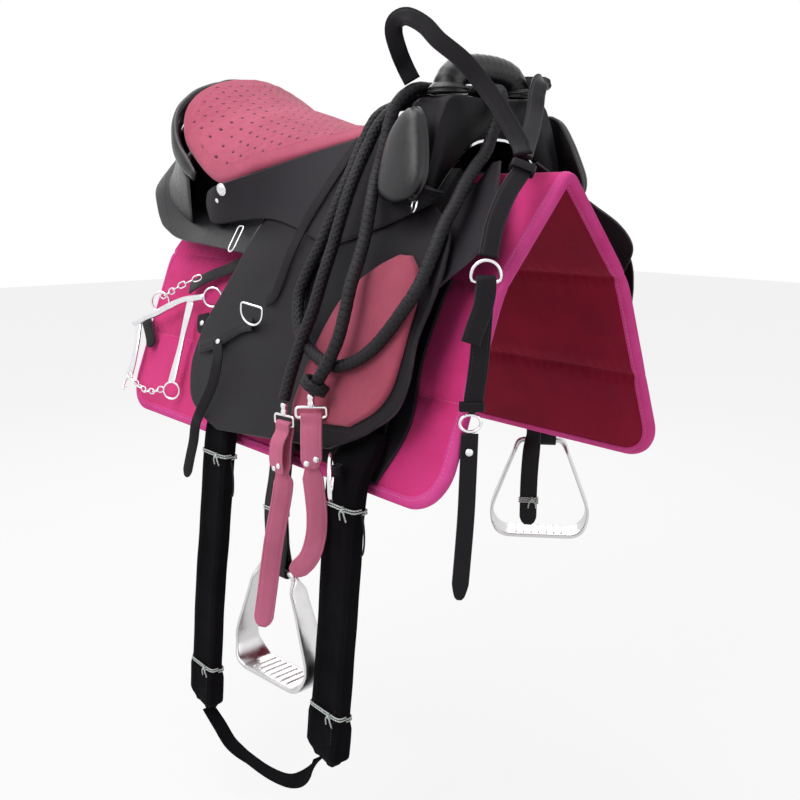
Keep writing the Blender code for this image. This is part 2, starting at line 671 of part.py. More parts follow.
def make_handle():
    line = handle_line(15)
    tangent = path_tangents(line)
    tangent[0] = (0.0, 0.0, 1.0)
    tangent[-1] = (0.0, 0.0, -1.0)
    across = np.array([1.0, 0.0, 0.0])
    a = np.linspace(0, 2 * math.pi, 10, endpoint=False)
    proud = np.cross(tangent, across)
    ring = (line[:, None, :] + HANDLE_RADIUS * 1.08 * np.cos(a)[None, :, None] * across
            + HANDLE_RADIUS * np.sin(a)[None, :, None] * proud[:, None, :])
    handle = sections_solid("grab_handle", ring, BLACK_LEATHER)
    profile = [(COLLAR_RADIUS, 0.0002), (COLLAR_RADIUS, 0.0035), (COLLAR_RADIUS - 0.0022, 0.0048),
               (COLLAR_RADIUS - 0.0004, 0.0065), (COLLAR_RADIUS - 0.0026, 0.0088), (HANDLE_RADIUS, COLLAR_HEIGHT)]
    collars = []
    a = np.linspace(0, 2 * math.pi, 14, endpoint=False)
    for side in (-1, 1):
        rings = [np.column_stack([HANDLE_X + r * np.cos(a), side * HANDLE_FOOT + r * np.sin(a),
                                  np.full(len(a), HANDLE_BASE + h)]) for r, h in profile]
        collars.append(sections_solid("collar", np.array(rings), BLACK_LEATHER))
    fuse(handle, collars)


def rim_station(k):
    """Point of the seat's rim at station k (a fraction is allowed), on the right side."""
    fine = smooth(SEAT_RIM, 10 * (len(SEAT_RIM) - 1) + 1)
    return fine[int(round(10 * k))] * np.array([1.0, -1.0, 1.0])


def cantle_curve(last, count):
    """Rim round the cantle, from the right side over the back to the left, and its outward way."""
    right = np.array([rim_station(k) for k in np.linspace(last, 0.0, 8)])
    left = right[::-1] * np.array([1.0, -1.0, 1.0])
    line = even_smooth(np.vstack([right, left]), count)
    tangent = path_tangents(line)
    return line, unit(np.cross([0.0, 0.0, 1.0], tangent))


def make_cantle_roll():
    line, outward = cantle_curve(4.5, 21)
    down = np.array([0.0, 0.0, -1.0])
    middle = line + outward * 0.0104 + down * 0.0105
    ends = np.abs(np.linspace(-1, 1, len(line)))
    size = 1.0 - 0.45 * smoothstep((ends - 0.86) / 0.14)
    a = np.linspace(0, 2 * math.pi, 8, endpoint=False)
    tangent = path_tangents(middle)
    proud = unit(outward - (outward * tangent).sum(1, keepdims=True) * tangent)
    along = np.cross(tangent, proud)
    ring = (middle[:, None, :] + size[:, None, None] * (
        0.0072 * np.cos(a)[None, :, None] * proud[:, None, :]
        + 0.0135 * np.sin(a)[None, :, None] * along[:, None, :]))
    sections_solid("cantle_roll", ring, BLACK_LEATHER)


def dome_curve(count):
    right = smooth([(x, t, 0.0) for x, t in DOME_LINE], 21)[::-1]
    points = []
    for x, t, _ in right:
        d = float(rear_skirt_height(x, t)) + SKIRT_LEATHER + 3 * TOUCH
        points.append(side_point(x, t, d, -1))
    left = [point * np.array([1.0, -1.0, 1.0]) for point in points[::-1]]
    return even_smooth(np.array(points + left[1:]), count)


def make_cantle_back():
    """Glossy leather between the cantle roll and the rear skirt, hollow in its section."""
    count = 17
    line, outward = cantle_curve(4.2, count)
    top = line - np.array([0.0, 0.0, 1.0]) * 0.0305 + outward * 0.006
    low = dome_curve(count)
    bend = top * 0.62 + low * 0.38
    bend[:, 2] = top[:, 2] * 0.30 + low[:, 2] * 0.70
    f = np.linspace(0.0, 1.0, 5)[:, None, None]
    grid = (1 - f) ** 2 * top + 2 * f * (1 - f) * bend + f ** 2 * low
    leather_sheet("cantle_back", grid[:, ::-1], 0.003, BLACK_LEATHER)


def make_rear_skirt():
    """Skirt behind the seat: over the spine, down both sides and forward under the flaps."""
    outline = smooth([(t, x, 0.0) for t, x in REAR_SKIRT_OUTLINE], 37)
    keep = [0, 5, 10, 14, 17, 20, 23, 27, 31, 36]
    half = outline[keep]
    t = np.concatenate([-half[:0:-1, 0], half[:, 0]])
    rear = np.concatenate([half[:0:-1, 1], half[:, 1]])
    front = -0.255 + 0.189 * smoothstep((np.abs(t) - 0.070) / 0.028)
    f = np.linspace(0.0, 1.0, 9)[None, :] ** 1.15
    x = rear[:, None] * (1 - f) + front[:, None] * f
    tt = np.broadcast_to(t[:, None], x.shape)
    grid = side_point(x, tt, rear_skirt_height(x, tt), -1)
    leather_sheet("rear_skirt", grid, SKIRT_LEATHER, BLACK_LEATHER)


def seat_skirt_grid(side, rows, columns):
    high = smooth(SKIRT_HIGH, columns)
    low = smooth([(x, t, 0.0) for x, t in SKIRT_LOW], columns)
    high[:, 1] *= side
    low = side_point(low[:, 0], low[:, 1], SEAT_SKIRT_D, side)
    f = np.linspace(0.0, 1.0, rows)[:, None, None]
    grid = high * (1 - f) + low * f
    grid[:, :, 1] += side * 0.004 * bump(f[:, :, 0])
    return grid if side < 0 else grid[:, ::-1]


def make_skirts_and_flaps(side, tag):
    leather_sheet("seat_skirt_" + tag, seat_skirt_grid(side, 4, 17), SKIRT_LEATHER, MATTE_LEATHER)
    leather_sheet("flap_" + tag, side_grid(FLAP_REAR, FLAP_FRONT, 15, 7, flap_height, side),
                  FLAP_LEATHER, BLACK_LEATHER)
    leather_sheet("flap_suede_" + tag, side_grid(SUEDE_REAR, SUEDE_FRONT, 10, 4, suede_height, side),
                  SUEDE_THICKNESS, PINK_SUEDE)
    sweat = leather_sheet("sweat_flap_" + tag, side_grid(SWEAT_REAR, SWEAT_FRONT, 8, 3, SWEAT_D, side),
                          SWEAT_LEATHER, MATTE_LEATHER)
    fuse(sweat, make_billets(side))
    leather_sheet("front_skirt_" + tag,
                  side_grid(FRONT_SKIRT_REAR, FRONT_SKIRT_FRONT, 7, 4,
                            lambda x, t: 0.019 + 0.10 * t + 0.0 * x, side),
                  SKIRT_LEATHER, MATTE_LEATHER)


def make_knee_pad(side, tag):
    """Stuffed leather pad standing on the seat skirt beside the pommel."""
    outline = np.array(KNEE_PAD_OUTLINE)
    closed = np.vstack([outline, outline[:1]])
    run = smooth(np.vstack([outline[-1:], closed, outline[1:2]]), 2 * (len(outline) + 2) + 1)[2:-3]
    middle = run.mean(axis=0)
    rings = []
    for grow, out in ((0.965, 0.0), (1.0, 0.0045), (0.975, 0.0115), (0.84, 0.0170), (0.45, 0.0215)):
        flat = middle + (run - middle) * grow
        y = KNEE_LEAN[0] - flat[:, 1] * KNEE_LEAN[1] + out
        rings.append(np.column_stack([flat[:, 0], side * y, flat[:, 1]]))
    sections_solid("knee_pad_" + tag, np.array(rings), BLACK_LEATHER)


def side_line(points, x, side):
    """Points down the side at fixed x, given as (t, d)."""
    return np.array([side_point(x, t, d, side) for t, d in points])


def make_billets(side):
    """Girth points, sewn on the sweat flap: two straps under the flap."""
    straps = []
    for x in (GIRTH_FRONT_X, GIRTH_REAR_X):
        d = BILLET_D + BILLET_LEATHER / 2
        path = side_line([(t, d) for t in np.linspace(BILLET_TOP, BILLET_BOTTOM, 6)], x, side)
        straps.append(strap("billet", path, (1.0, 0.0, 0.0), BILLET_WIDTH, BILLET_LEATHER, BLACK_LEATHER))
    return straps


def make_stirrup_bar(side, tag):
    x = STIRRUP_BAR_X
    ends = side_line([(BAR_BOTTOM + TOUCH + STIRRUP_BAR_RADIUS + 0.0006, STIRRUP_BAR_D + 0.004),
                      (STIRRUP_BAR_DROP - 0.001, STIRRUP_BAR_D + 0.0006),
                      (STIRRUP_BAR_DROP, STIRRUP_BAR_D)], 0.0, side)
    reach = STIRRUP_BAR_HALF
    path = [ends[0] + (x - reach, 0, 0), ends[1] + (x - reach, 0, 0), ends[2] + (x - reach + 0.004, 0, 0),
            ends[2] + (x + reach - 0.004, 0, 0), ends[1] + (x + reach, 0, 0), ends[0] + (x + reach, 0, 0)]
    wires("stirrup_bar_" + tag, STEEL, bars=[(STIRRUP_BAR_RADIUS, np.array(path))], sides=2)


def leather_middle(side):
    """Line between the two plies of a stirrup leather, bar to stirrup, and its turn in degrees."""
    x, y, pin = LEATHER_X[side], STIRRUP_Y[side], STIRRUP_TOP_Z[side]
    bar = side_line([(STIRRUP_BAR_DROP, STIRRUP_BAR_D)], x, side)
    if side < 0:
        under = side_line([(0.20, 0.032), (0.28, 0.026), (0.35, 0.021), (0.395, 0.0185)], x, side)
        low = np.array([(x, side * 0.2165, -0.385), (x, side * y, -0.425), (x, side * y, -0.465),
                        (x, side * y, pin)])
    else:
        under = side_line([(0.20, 0.032), (0.27, 0.027), (0.33, 0.023)], x, side)
        low = np.array([(x, side * 0.2120, -0.328), (x, side * 0.2240, -0.354), (x, side * y, -0.378), (x, side * y, pin)])
    line = even_smooth(np.vstack([bar, under, low]), 25)
    begin, end = (-0.385, -0.450) if side < 0 else (-0.343, -0.385)
    turn = STIRRUP_YAW_DEG[side] * smoothstep((begin - line[:, 2]) / (begin - end))
    return line, turn


def make_stirrup_leather(side, tag):
    """One closed strap: over the bar above, round the stirrup's top bar below."""
    line, turn = leather_middle(side)
    yaw = np.radians(turn)
    across = np.column_stack([np.cos(yaw), np.sin(yaw), 0 * yaw])
    tangent = path_tangents(line)
    across = unit(across - (across * tangent).sum(1, keepdims=True) * tangent)
    proud = np.cross(across, tangent)
    half = LEATHER_THICKNESS / 2
    at_bar = STIRRUP_BAR_RADIUS + 0.0006 + half
    at_pin = STIRRUP_PIN_RADIUS + 0.0011 + half
    run = np.linspace(0.0, 1.0, len(line))
    apart = 0.0019 + (at_bar - 0.0019) * (1 - smoothstep(run / 0.10)) + (at_pin - 0.0019) * smoothstep((run - 0.90) / 0.10)
    outer = line + proud * apart[:, None]
    inner = line - proud * apart[:, None]
    turns = np.linspace(0, math.pi, 6)[1:-1]
    low = [line[-1] + at_pin * (math.cos(a) * proud[-1] + math.sin(a) * tangent[-1]) for a in turns]
    slack = 0.0052
    raised = line[0] - tangent[0] * slack
    high = [raised + at_bar * (-math.cos(a) * proud[0] - math.sin(a) * tangent[0]) for a in turns]
    path = np.vstack([outer, low, inner[::-1], high])
    ways = np.vstack([across, np.repeat(across[-1:], len(low), 0), across[::-1], np.repeat(across[:1], len(high), 0)])
    strap("stirrup_leather_" + tag, path, ways, LEATHER_WIDTH, LEATHER_THICKNESS, BLACK_LEATHER, closed=True)


def make_leather_tail():
    """Spare end of the left leather, hanging beside it and turned to the front."""
    path = even_smooth(LEATHER_TAIL, 9)
    turn = np.radians(LEATHER_TAIL_DEG * smoothstep((-0.372 - path[:, 2]) / 0.05))
    strap("leather_tail_left", path, np.column_stack([np.cos(turn), np.sin(turn), 0 * turn]), LEATHER_TAIL_WIDTH,
          LEATHER_THICKNESS, BLACK_LEATHER)


def make_stirrup(side, tag):
    """Cast iron: round top bar, flat wide legs and a wide tread, in one closed ring."""
    half = even_smooth([(u, v, 0.0) for u, v in STIRRUP_OUTLINE], 17)[:, :2]
    outline = np.vstack([half, (half * [-1, 1])[-2:0:-1]])
    down = outline[:, 1]
    flat = smoothstep((down - 0.002) / 0.020)
    tread = smoothstep((down - 0.118) / 0.026)
    thick = STIRRUP_PIN_RADIUS * (1 - flat) + (0.0025 + 0.0010 * tread) * flat
    wide = STIRRUP_PIN_RADIUS * (1 - flat) + (0.0135 + 0.0050 * smoothstep((down - 0.02) / 0.09) + 0.0065 * tread) * flat
    power = 2.0 + 3.5 * flat
    yaw = math.radians(STIRRUP_YAW_DEG[side])
    across = np.array([math.cos(yaw), math.sin(yaw), 0.0])
    deep = np.array([-math.sin(yaw), math.cos(yaw), 0.0])
    top = np.array([LEATHER_X[side], side * STIRRUP_Y[side], STIRRUP_TOP_Z[side]])
    line = top + outline[:, :1] * across - outline[:, 1:] * np.array([0.0, 0.0, 1.0])
    tangent = path_tangents(line, closed=True)
    normal = np.cross(tangent, deep)
    a = np.linspace(0, 2 * math.pi, 8, endpoint=False) + math.pi / 8
    c, n = np.cos(a), np.sin(a)
    u = np.sign(c)[None, :] * np.abs(c)[None, :] ** (2 / power[:, None]) * wide[:, None]
    v = np.sign(n)[None, :] * np.abs(n)[None, :] ** (2 / power[:, None]) * thick[:, None]
    ring = line[:, None, :] + u[:, :, None] * deep + v[:, :, None] * normal[:, None, :]
    sections_solid("stirrup_" + tag, ring, ALUMINIUM, closed=True)


def hoop(centre, across, half_wide, deep, half_deep):
    """Rounded rectangle round a strap: points of a closed path."""
    across, deep = unit(across), unit(deep)
    r = min(0.003, half_deep * 0.6)
    points = []
    for su, sv, start in ((1, 1, 0.0), (-1, 1, 90.0), (-1, -1, 180.0), (1, -1, 270.0)):
        for a in np.radians(np.linspace(start, start + 90, 3)):
            points.append(np.asarray(centre) + across * (su * (half_wide - r) + r * math.cos(a))
                          + deep * (sv * (half_deep - r) + r * math.sin(a)))
    return np.array(points)


def girth_path(rear):
    """Middle line of a girth from under the flap to its free end."""
    if rear:
        x0, x1, x2, end = GIRTH_REAR_X, -0.050, -0.124, -0.800
    else:
        x0, x1, x2, end = GIRTH_FRONT_X, 0.2515, 0.205, -0.738
    d = BILLET_D + BILLET_LEATHER + TOUCH + GIRTH_THICKNESS / 2
    start = [side_point(x0, t, d, -1) for t in (0.360, 0.385)]
    y = -GIRTH_Y
    return np.array(start + [(x0 * 0.6 + x1 * 0.4, -0.2115, -0.345), (x1, y, -0.380), (x1 * 0.68 + x2 * 0.32, y, -0.50),
                             (x1 * 0.34 + x2 * 0.66, y, -0.62), (x2, y, end)])


def make_girth(name, rear):
    """Broad webbing folded over a core, doubled back on itself at its free end."""
    line = even_smooth(girth_path(rear), 19)
    run = np.linalg.norm(line - line[-1], axis=1)
    end = 1.0 - smoothstep((run - 0.055) / 0.020)
    toe = 1.0 - 0.35 * (1.0 - smoothstep(run / 0.016))
    wide = GIRTH_WIDTH / 2 * (1.0 + 0.03 * end) * toe
    deep = GIRTH_THICKNESS / 2 * (1.0 + 0.40 * end) * toe
    tangent = path_tangents(line)
    across = np.array([1.0, 0.0, 0.0])
    across = unit(across - (across * tangent).sum(1, keepdims=True) * tangent)
    proud = np.cross(tangent, across)
    a = np.linspace(0, 2 * math.pi, 8, endpoint=False) + math.pi / 8
    c, n = np.cos(a), np.sin(a)
    u = np.sign(c) * np.abs(c) ** (2 / 6.0)
    v = np.sign(n) * np.abs(n) ** (2 / 6.0)
    ring = (line[:, None, :] + (wide[:, None] * u)[:, :, None] * across[:, None, :]
            + (deep[:, None] * v)[:, :, None] * proud[:, None, :])
    sections_solid(name, ring, WEBBING)


def make_girth_gear():
    ring_middle = np.array([0.2800, -0.2560, -0.3400])
    view = unit(np.array([-0.777, 0.629, 0.0]))
    wires("girth_ring", STEEL, rings=[(0.0026, ring_path(ring_middle, GIRTH_RING_RADIUS, (0.629, 0.777, 0.0), 24))])
    touch = ring_middle + view * GIRTH_RING_RADIUS
    face = -GIRTH_Y - GIRTH_THICKNESS / 2
    r = 0.0026 + 0.0014 + 0.001
    a = np.radians(np.linspace(180, 360, 7))
    bow = [(touch[0] + r * math.cos(k), touch[1] + r * math.sin(k), -0.3400) for k in a]
    near = face - TOUCH - 0.0011
    path = np.array(bow + [(touch[0] + r, (touch[1] + near) / 2, -0.34), (touch[0] + r - 0.0005, near, -0.34),
                           (touch[0] - r + 0.0005, near, -0.34), (touch[0] - r, (touch[1] + near) / 2, -0.34)])
    strap("girth_chape", path, (0.0, 0.0, 1.0), 0.012, 0.002, BLACK_LEATHER, closed=True)

    line = even_smooth([(-0.118, -GIRTH_Y, -0.8085), (-0.086, -GIRTH_Y, -0.822), (-0.050, -GIRTH_Y, -0.838),
                        (0.000, -GIRTH_Y, -0.838), (0.060, -GIRTH_Y, -0.833), (0.115, -GIRTH_Y, -0.818),
                        (0.155, -GIRTH_Y, -0.790), (0.188, -GIRTH_Y, -0.7475)], 19)
    turn = np.radians(np.interp(np.linspace(0, 1, 19), [0, 0.15, 0.35, 0.75, 0.9, 1.0], [90, 60, 5, 0, 40, 90]))
    tangent = path_tangents(line)
    side = np.array([0.0, 1.0, 0.0])
    other = np.cross(tangent, side)
    across = np.cos(turn)[:, None] * other + np.sin(turn)[:, None] * side
    strap("girth_connector", line, across, 0.020, 0.003, WEBBING)


CROWN_LINE = ((0.2080, -0.0790, 0.1040), (0.2060, -0.0880, 0.1190), (0.2110, -0.1020, 0.1350),
              (0.2175, -0.1150, 0.1540), (0.2250, -0.1175, 0.1660), (0.2375, -0.1110, 0.1700),
              (0.2545, -0.1000, 0.1595), (0.2700, -0.0915, 0.1420), (0.2900, -0.0740, 0.1210),
              (0.3050, -0.0600, 0.0980), (0.3260, -0.0520, 0.0710), (0.3450, -0.0490, 0.0450),
              (0.3600, -0.0490, 0.0265), (0.3700, -0.0535, 0.0145))
BROW_LINE = ((0.2220, 0.0300, 0.1050), (0.2165, 0.0620, 0.1090), (0.2320, 0.0900, 0.1090),
             (0.2560, 0.0965, 0.1080), (0.2790, 0.0680, 0.1080), (0.2920, 0.0480, 0.0900),
             (0.3040, 0.0330, 0.0700), (0.3270, 0.0030, 0.0450), (0.3480, -0.0270, 0.0230),
             (0.3600, -0.0430, 0.0125))
CHEEK_LINE = ((0.3740, -0.0560, 0.0040), (0.3775, -0.0630, -0.0040), (0.3850, -0.0920, -0.0280),
              (0.3940, -0.1180, -0.0580), (0.4020, -0.1330, -0.0820), (0.4062, -0.1394, -0.0935))
CHEEK_DEE = (0.4120, -0.1480, -0.1120)

# One rein: up the side, through under the handle, down in a bight, up again and down
REIN_LINE = ((0.2197, -0.2407, -0.2529), (0.2278, -0.2360, -0.2392), (0.2382, -0.2287, -0.2174),
             (0.2470, -0.2200, -0.1893), (0.2482, -0.2111, -0.1602), (0.2460, -0.2010, -0.1311),
             (0.2407, -0.1846, -0.1007), (0.2351, -0.1715, -0.0751), (0.2270, -0.1582, -0.0445),
             (0.2110, -0.1390, -0.0150), (0.2045, -0.1265, 0.0060), (0.2060, -0.1190, 0.0285),
             (0.2045, -0.1115, 0.0535), (0.2060, -0.0990, 0.0790), (0.2090, -0.0760, 0.0950),
             (0.2110, -0.0500, 0.0965), (0.2140, -0.0250, 0.0963), (0.2230, -0.0060, 0.0953),
             (0.2400, 0.0000, 0.0943), (0.2620, -0.0010, 0.0943), (0.2845, -0.0060, 0.0890),
             (0.2915, -0.0120, 0.0690), (0.2920, -0.0240, 0.0450), (0.2935, -0.0370, 0.0205),
             (0.3010, -0.0600, 0.0030), (0.3160, -0.0910, -0.0170), (0.3290, -0.1180, -0.0410),
             (0.3361, -0.1397, -0.0621), (0.3430, -0.1611, -0.0913), (0.3425, -0.1757, -0.1187),
             (0.3392, -0.1868, -0.1374), (0.3292, -0.1944, -0.1554), (0.3132, -0.2011, -0.1772),
             (0.2941, -0.2074, -0.1978), (0.2689, -0.2124, -0.2140), (0.2396, -0.2153, -0.2234),
             (0.2109, -0.2150, -0.2224), (0.1797, -0.2122, -0.2134), (0.1463, -0.2043, -0.1998),
             (0.1281, -0.1967, -0.1785), (0.1193, -0.1900, -0.1633), (0.1153, -0.1846, -0.1489),
             (0.1220, -0.1755, -0.1214), (0.1318, -0.1643, -0.0918), (0.1400, -0.1508, -0.0563),
             (0.1417, -0.1342, -0.0223), (0.1396, -0.1153, 0.0096), (0.1380, -0.0975, 0.0400),
             (0.1430, -0.0820, 0.0660), (0.1500, -0.0600, 0.0790), (0.1570, -0.0350, 0.0845),
             (0.1665, -0.0140, 0.0895), (0.1790, -0.0070, 0.0912), (0.1890, -0.0180, 0.0920),
             (0.1915, -0.0420, 0.0912), (0.1870, -0.0680, 0.0860), (0.1795, -0.0900, 0.0700),
             (0.1720, -0.1065, 0.0485), (0.1705, -0.1170, 0.0300), (0.1720, -0.1290, 0.0120),
             (0.1782, -0.1512, -0.0226), (0.1800, -0.1665, -0.0566), (0.1800, -0.1783, -0.0880),
             (0.1805, -0.1932, -0.1231), (0.1752, -0.2057, -0.1648), (0.1652, -0.2187, -0.2071),
             (0.1600, -0.2299, -0.2432), (0.1586, -0.2391, -0.2733))
LEAD_LINE = ((0.1191, -0.0905, 0.0395), (0.1115, -0.1025, 0.0209), (0.1028, -0.1154, -0.0003),
             (0.0892, -0.1347, -0.0354), (0.0720, -0.1502, -0.0720), (0.0640, -0.1684, -0.1122),
             (0.0520, -0.1817, -0.1560), (0.0380, -0.1880, -0.1690))
TAIL_LINE = ((0.0180, -0.1968, -0.1985), (-0.0149, -0.1986, -0.2066), (-0.0645, -0.2061, -0.2300),
             (-0.1090, -0.2110, -0.2440))


def facing(path, toward):
    """Ways across a strap so that its face looks toward the given direction."""
    return unit(np.cross(path_tangents(path), np.broadcast_to(toward, path.shape)))


def bridle_strap(name, points, count, width=BRIDLE_WIDTH, toward=UP_FACE, thickness=BRIDLE_THICKNESS,
                 finish=BLACK_LEATHER, point_length=0.0):
    """Flat strap through the points, with a rounded point at its end where it has one."""
    path = even_smooth(points, count)
    wide = np.full(count, width)
    if point_length:
        run = np.linalg.norm(path - path[-1], axis=1)
        wide = width * np.clip(0.30 + 0.70 * np.sqrt(np.clip(run / point_length, 0, 1)), 0, 1)
    return strap(name, path, facing(path, toward), wide, thickness, finish)


def make_bridle():
    bridle_strap("crown_strap", CROWN_LINE, 25)
    bridle_strap("brow_strap", BROW_LINE, 19)
    bridle_strap("cheek_strap_upper", CHEEK_LINE, 11)
    line = even_smooth(CHEEK_LINE, 11)
    run = unit(line[1] - line[0])
    across = unit(np.cross(run, UP_FACE))
    deep = np.cross(across, run)
    keeper = hoop((line[0] + line[1]) / 2, across, BRIDLE_WIDTH / 2 + 0.0030, deep, 0.0055)
    strap("bridle_keeper", keeper, run, 0.011, 0.002, BLACK_LEATHER, closed=True)
    dee = np.array(CHEEK_DEE)
    wires("cheek_dee", STEEL, rings=[(0.0019, dee_path(dee + (0, 0, -0.0065), (0, 0, 1), ALONG, 0.031, 0.022, 0.004))])
    bar = dee + np.array([0.0, 0.0, -0.0065])
    fold = 0.0019 + 2 * TOUCH + BRIDLE_THICKNESS / 2

    def low(u, v, out=0.0):
        return bar + u * np.array(ALONG) + out * np.array(FACE) - v * np.array([0.0, 0.0, 1.0])

    turn = [low(0.0, -fold * math.sin(k), -fold * math.cos(k)) for k in (0.5, 1.57, 2.64)]
    path = [low(-0.0130, 0.1399, 0.0010), low(-0.0060, 0.085, 0.0010), low(-0.0030, 0.040, 0.0),
            low(-0.0008, 0.012, -0.0030)] + turn + [low(0.000, 0.010, 0.0052), low(-0.003, 0.026, 0.0056),
                                                    low(-0.010, 0.046, 0.0075), low(-0.016, 0.064, 0.0095)]
    path = smooth(path[::-1], 31)
    wide = 0.021 * np.clip(0.3 + 0.7 * np.sqrt(np.linalg.norm(path - path[-1], axis=1) / 0.012), 0, 1)
    strap("cheek_strap_lower", path, ALONG, wide, BRIDLE_THICKNESS, BLACK_LEATHER)
    wires("cheek_ring", STEEL, rings=[(0.0018, ring_path(low(-0.0140, 0.1515), 0.0115, FACE, 20, 0.82))])
    bridle_strap("bridle_end_strap", [low(-0.0145, 0.1631), low(-0.0160, 0.215, 0.001), low(-0.0180, 0.265, 0.002),
                                      low(-0.0240, 0.352, 0.003)], 13, 0.019, FACE, point_length=0.018)


def make_reins():
    wires("rein_rope", ROPE, bars=[(REIN_DIAMETER / 2, even_smooth(REIN_LINE, 66))], sides=2)
    way = unit(np.array(REIN_LINE[1]) - np.array(REIN_LINE[0]))
    a = np.linspace(0.0, 4 * math.pi, 33)[:, None]
    first = unit(np.cross(way, FACE))
    coil = (np.array(REIN_LINE[0]) + way * (0.004 + 0.0022 * a / math.pi)
            + 0.0130 * (np.cos(a) * first + np.sin(a) * np.cross(way, first)))
    wires("rein_knot", ROPE, bars=[(0.0043, coil)])
    for tag, end, face_deg in (("rear", REIN_LINE[-1], 45.0), ("front", REIN_LINE[0], 0.0)):
        end = np.array(end)
        a = math.radians(face_deg)
        across = np.array(ALONG) * math.cos(a) + np.array(FACE) * math.sin(a)
        eye = end + np.array([0.0, 0.0, 0.0060 - REIN_EYE_DROP])
        snap = tube("rein_snap_" + tag, hoop(eye, across, 0.0178, (0.0, 0.0, 1.0), 0.0060), 0.0018, STEEL, closed=True,
                    sides=6)
        stem = [end + (0, 0, -0.0035), end + (0, 0, -0.0120), end + (0, 0, -0.0183)]
        fuse(snap, [tube("stem", np.array(stem), 0.0045, STEEL, sides=10)])

    for name, end, face_deg, tail in (
            ("rein_strap_rear", REIN_LINE[-1], 45.0,
             ((0.001, 0.075), (-0.004, 0.105), (-0.013, 0.150), (-0.022, 0.210), (-0.030, 0.262))),
            ("rein_strap_front", REIN_LINE[0], 0.0,
             ((0.003, 0.090), (0.005, 0.118), (0.003, 0.145), (-0.006, 0.172), (-0.026, 0.192)))):
        eye = np.array(end) + np.array([0.0, 0.0, -REIN_EYE_DROP])
        a = math.radians(face_deg)
        across = np.array(ALONG) * math.cos(a) + np.array(FACE) * math.sin(a)
        out = np.array(FACE) * math.cos(a) - np.array(ALONG) * math.sin(a)
        bulge = 0.0145 if face_deg else 0.0100
        r = 0.0018 + 0.0006 + REIN_STRAP_THICKNESS / 2

        def at(u, v, o):
            return eye + u * across + o * out - v * np.array([0.0, 0.0, 1.0])

        front = [at(0, 0.060, 0.0092), at(0, 0.045, bulge), at(0, 0.022, bulge * 0.85), at(0, 0.008, r)]
        over = [at(0, -r * math.sin(k), r * math.cos(k)) for k in (0.5, 1.57, 2.64)]
        back = [at(0, 0.008, -r), at(0, 0.022, 0.0), at(0, 0.045, 0.0040), at(0, 0.060, 0.0055)]
        tail = [eye + u * np.array(ALONG) + 0.0055 * out - v * np.array([0.0, 0.0, 1.0]) for u, v in tail]
        path = smooth(front + over + back + tail, 46)
        run = np.linspace(0, 1, len(path))
        turn = a * (1 - smoothstep((run - 0.5) / 0.3))
        ways = np.cos(turn)[:, None] * np.array(ALONG) + np.sin(turn)[:, None] * np.array(FACE)
        tip = np.minimum(np.linalg.norm(path - path[-1], axis=1), np.linalg.norm(path - path[0], axis=1))
        wide = REIN_STRAP_WIDTH * np.clip(0.35 + 0.65 * np.sqrt(np.clip(tip / 0.012, 0, 1)), 0, 1)
        sections_solid(name, strap_sections(path, ways, wide, REIN_STRAP_THICKNESS), PINK_LEATHER, smooth_deg=50.0)


def make_lead():
    """Flat strap over the skirt to a dee on the flap, and the strap hung from the dee."""
    bridle_strap("lead_strap", LEAD_LINE, 17, 0.014, (0.30, -0.85, 0.45), 0.0030)
    tail = bridle_strap("lead_tail", TAIL_LINE, 7, 0.017, (0.20, -0.90, 0.30), 0.0030)
    hang = bridle_strap("lead_hang", [(-0.0600, -0.2082, -0.2285), (-0.0470, -0.2165, -0.2520), (-0.0483, -0.2262, -0.2880),
                                      (-0.0610, -0.2385, -0.3249),
                                 (-0.0740, -0.2400, -0.3450), (-0.0830, -0.2400, -0.3720),
                                 (-0.0960, -0.2400, -0.3990), (-0.1100, -0.2400, -0.4300)], 13, 0.015,
                        (0.5, -0.85, 0.1), 0.0030, point_length=0.012)
    fuse(tail, [hang])
    wires("lead_dee", STEEL, rings=[(0.0016, dee_path((0.022, -0.1995, -0.1720), (0.05, -0.12, -1.0),
                                                      (0.88, 0.40, -0.20), 0.034, 0.026, 0.003))])


def chain(name, points, count, wide, radius):
    """Oval links along a line, each a quarter turn from the last and bearing on it."""
    line = even_smooth(points, count + 1)
    middles = (line[1:] + line[:-1]) / 2
    pitch = np.linalg.norm(line[1] - line[0])
    length = pitch + 1.3 * radius
    a = np.linspace(0, 2 * math.pi, 8, endpoint=False)[:, None]
    links = []
    for k, (centre, way) in enumerate(zip(middles, unit(line[1:] - line[:-1]))):
        side = unit(np.cross(way, FACE))
        side = side if k % 2 == 0 else np.cross(way, side)
        links.append(tube("link", centre + way * length / 2 * np.cos(a) + side * wide / 2 * np.sin(a), radius,
                          STEEL, closed=True, sides=4))
    first = links[0]
    first.name = name
    fuse(first, links[1:])


def gear(x, t, d):
    return side_point(x, t, d, -1)


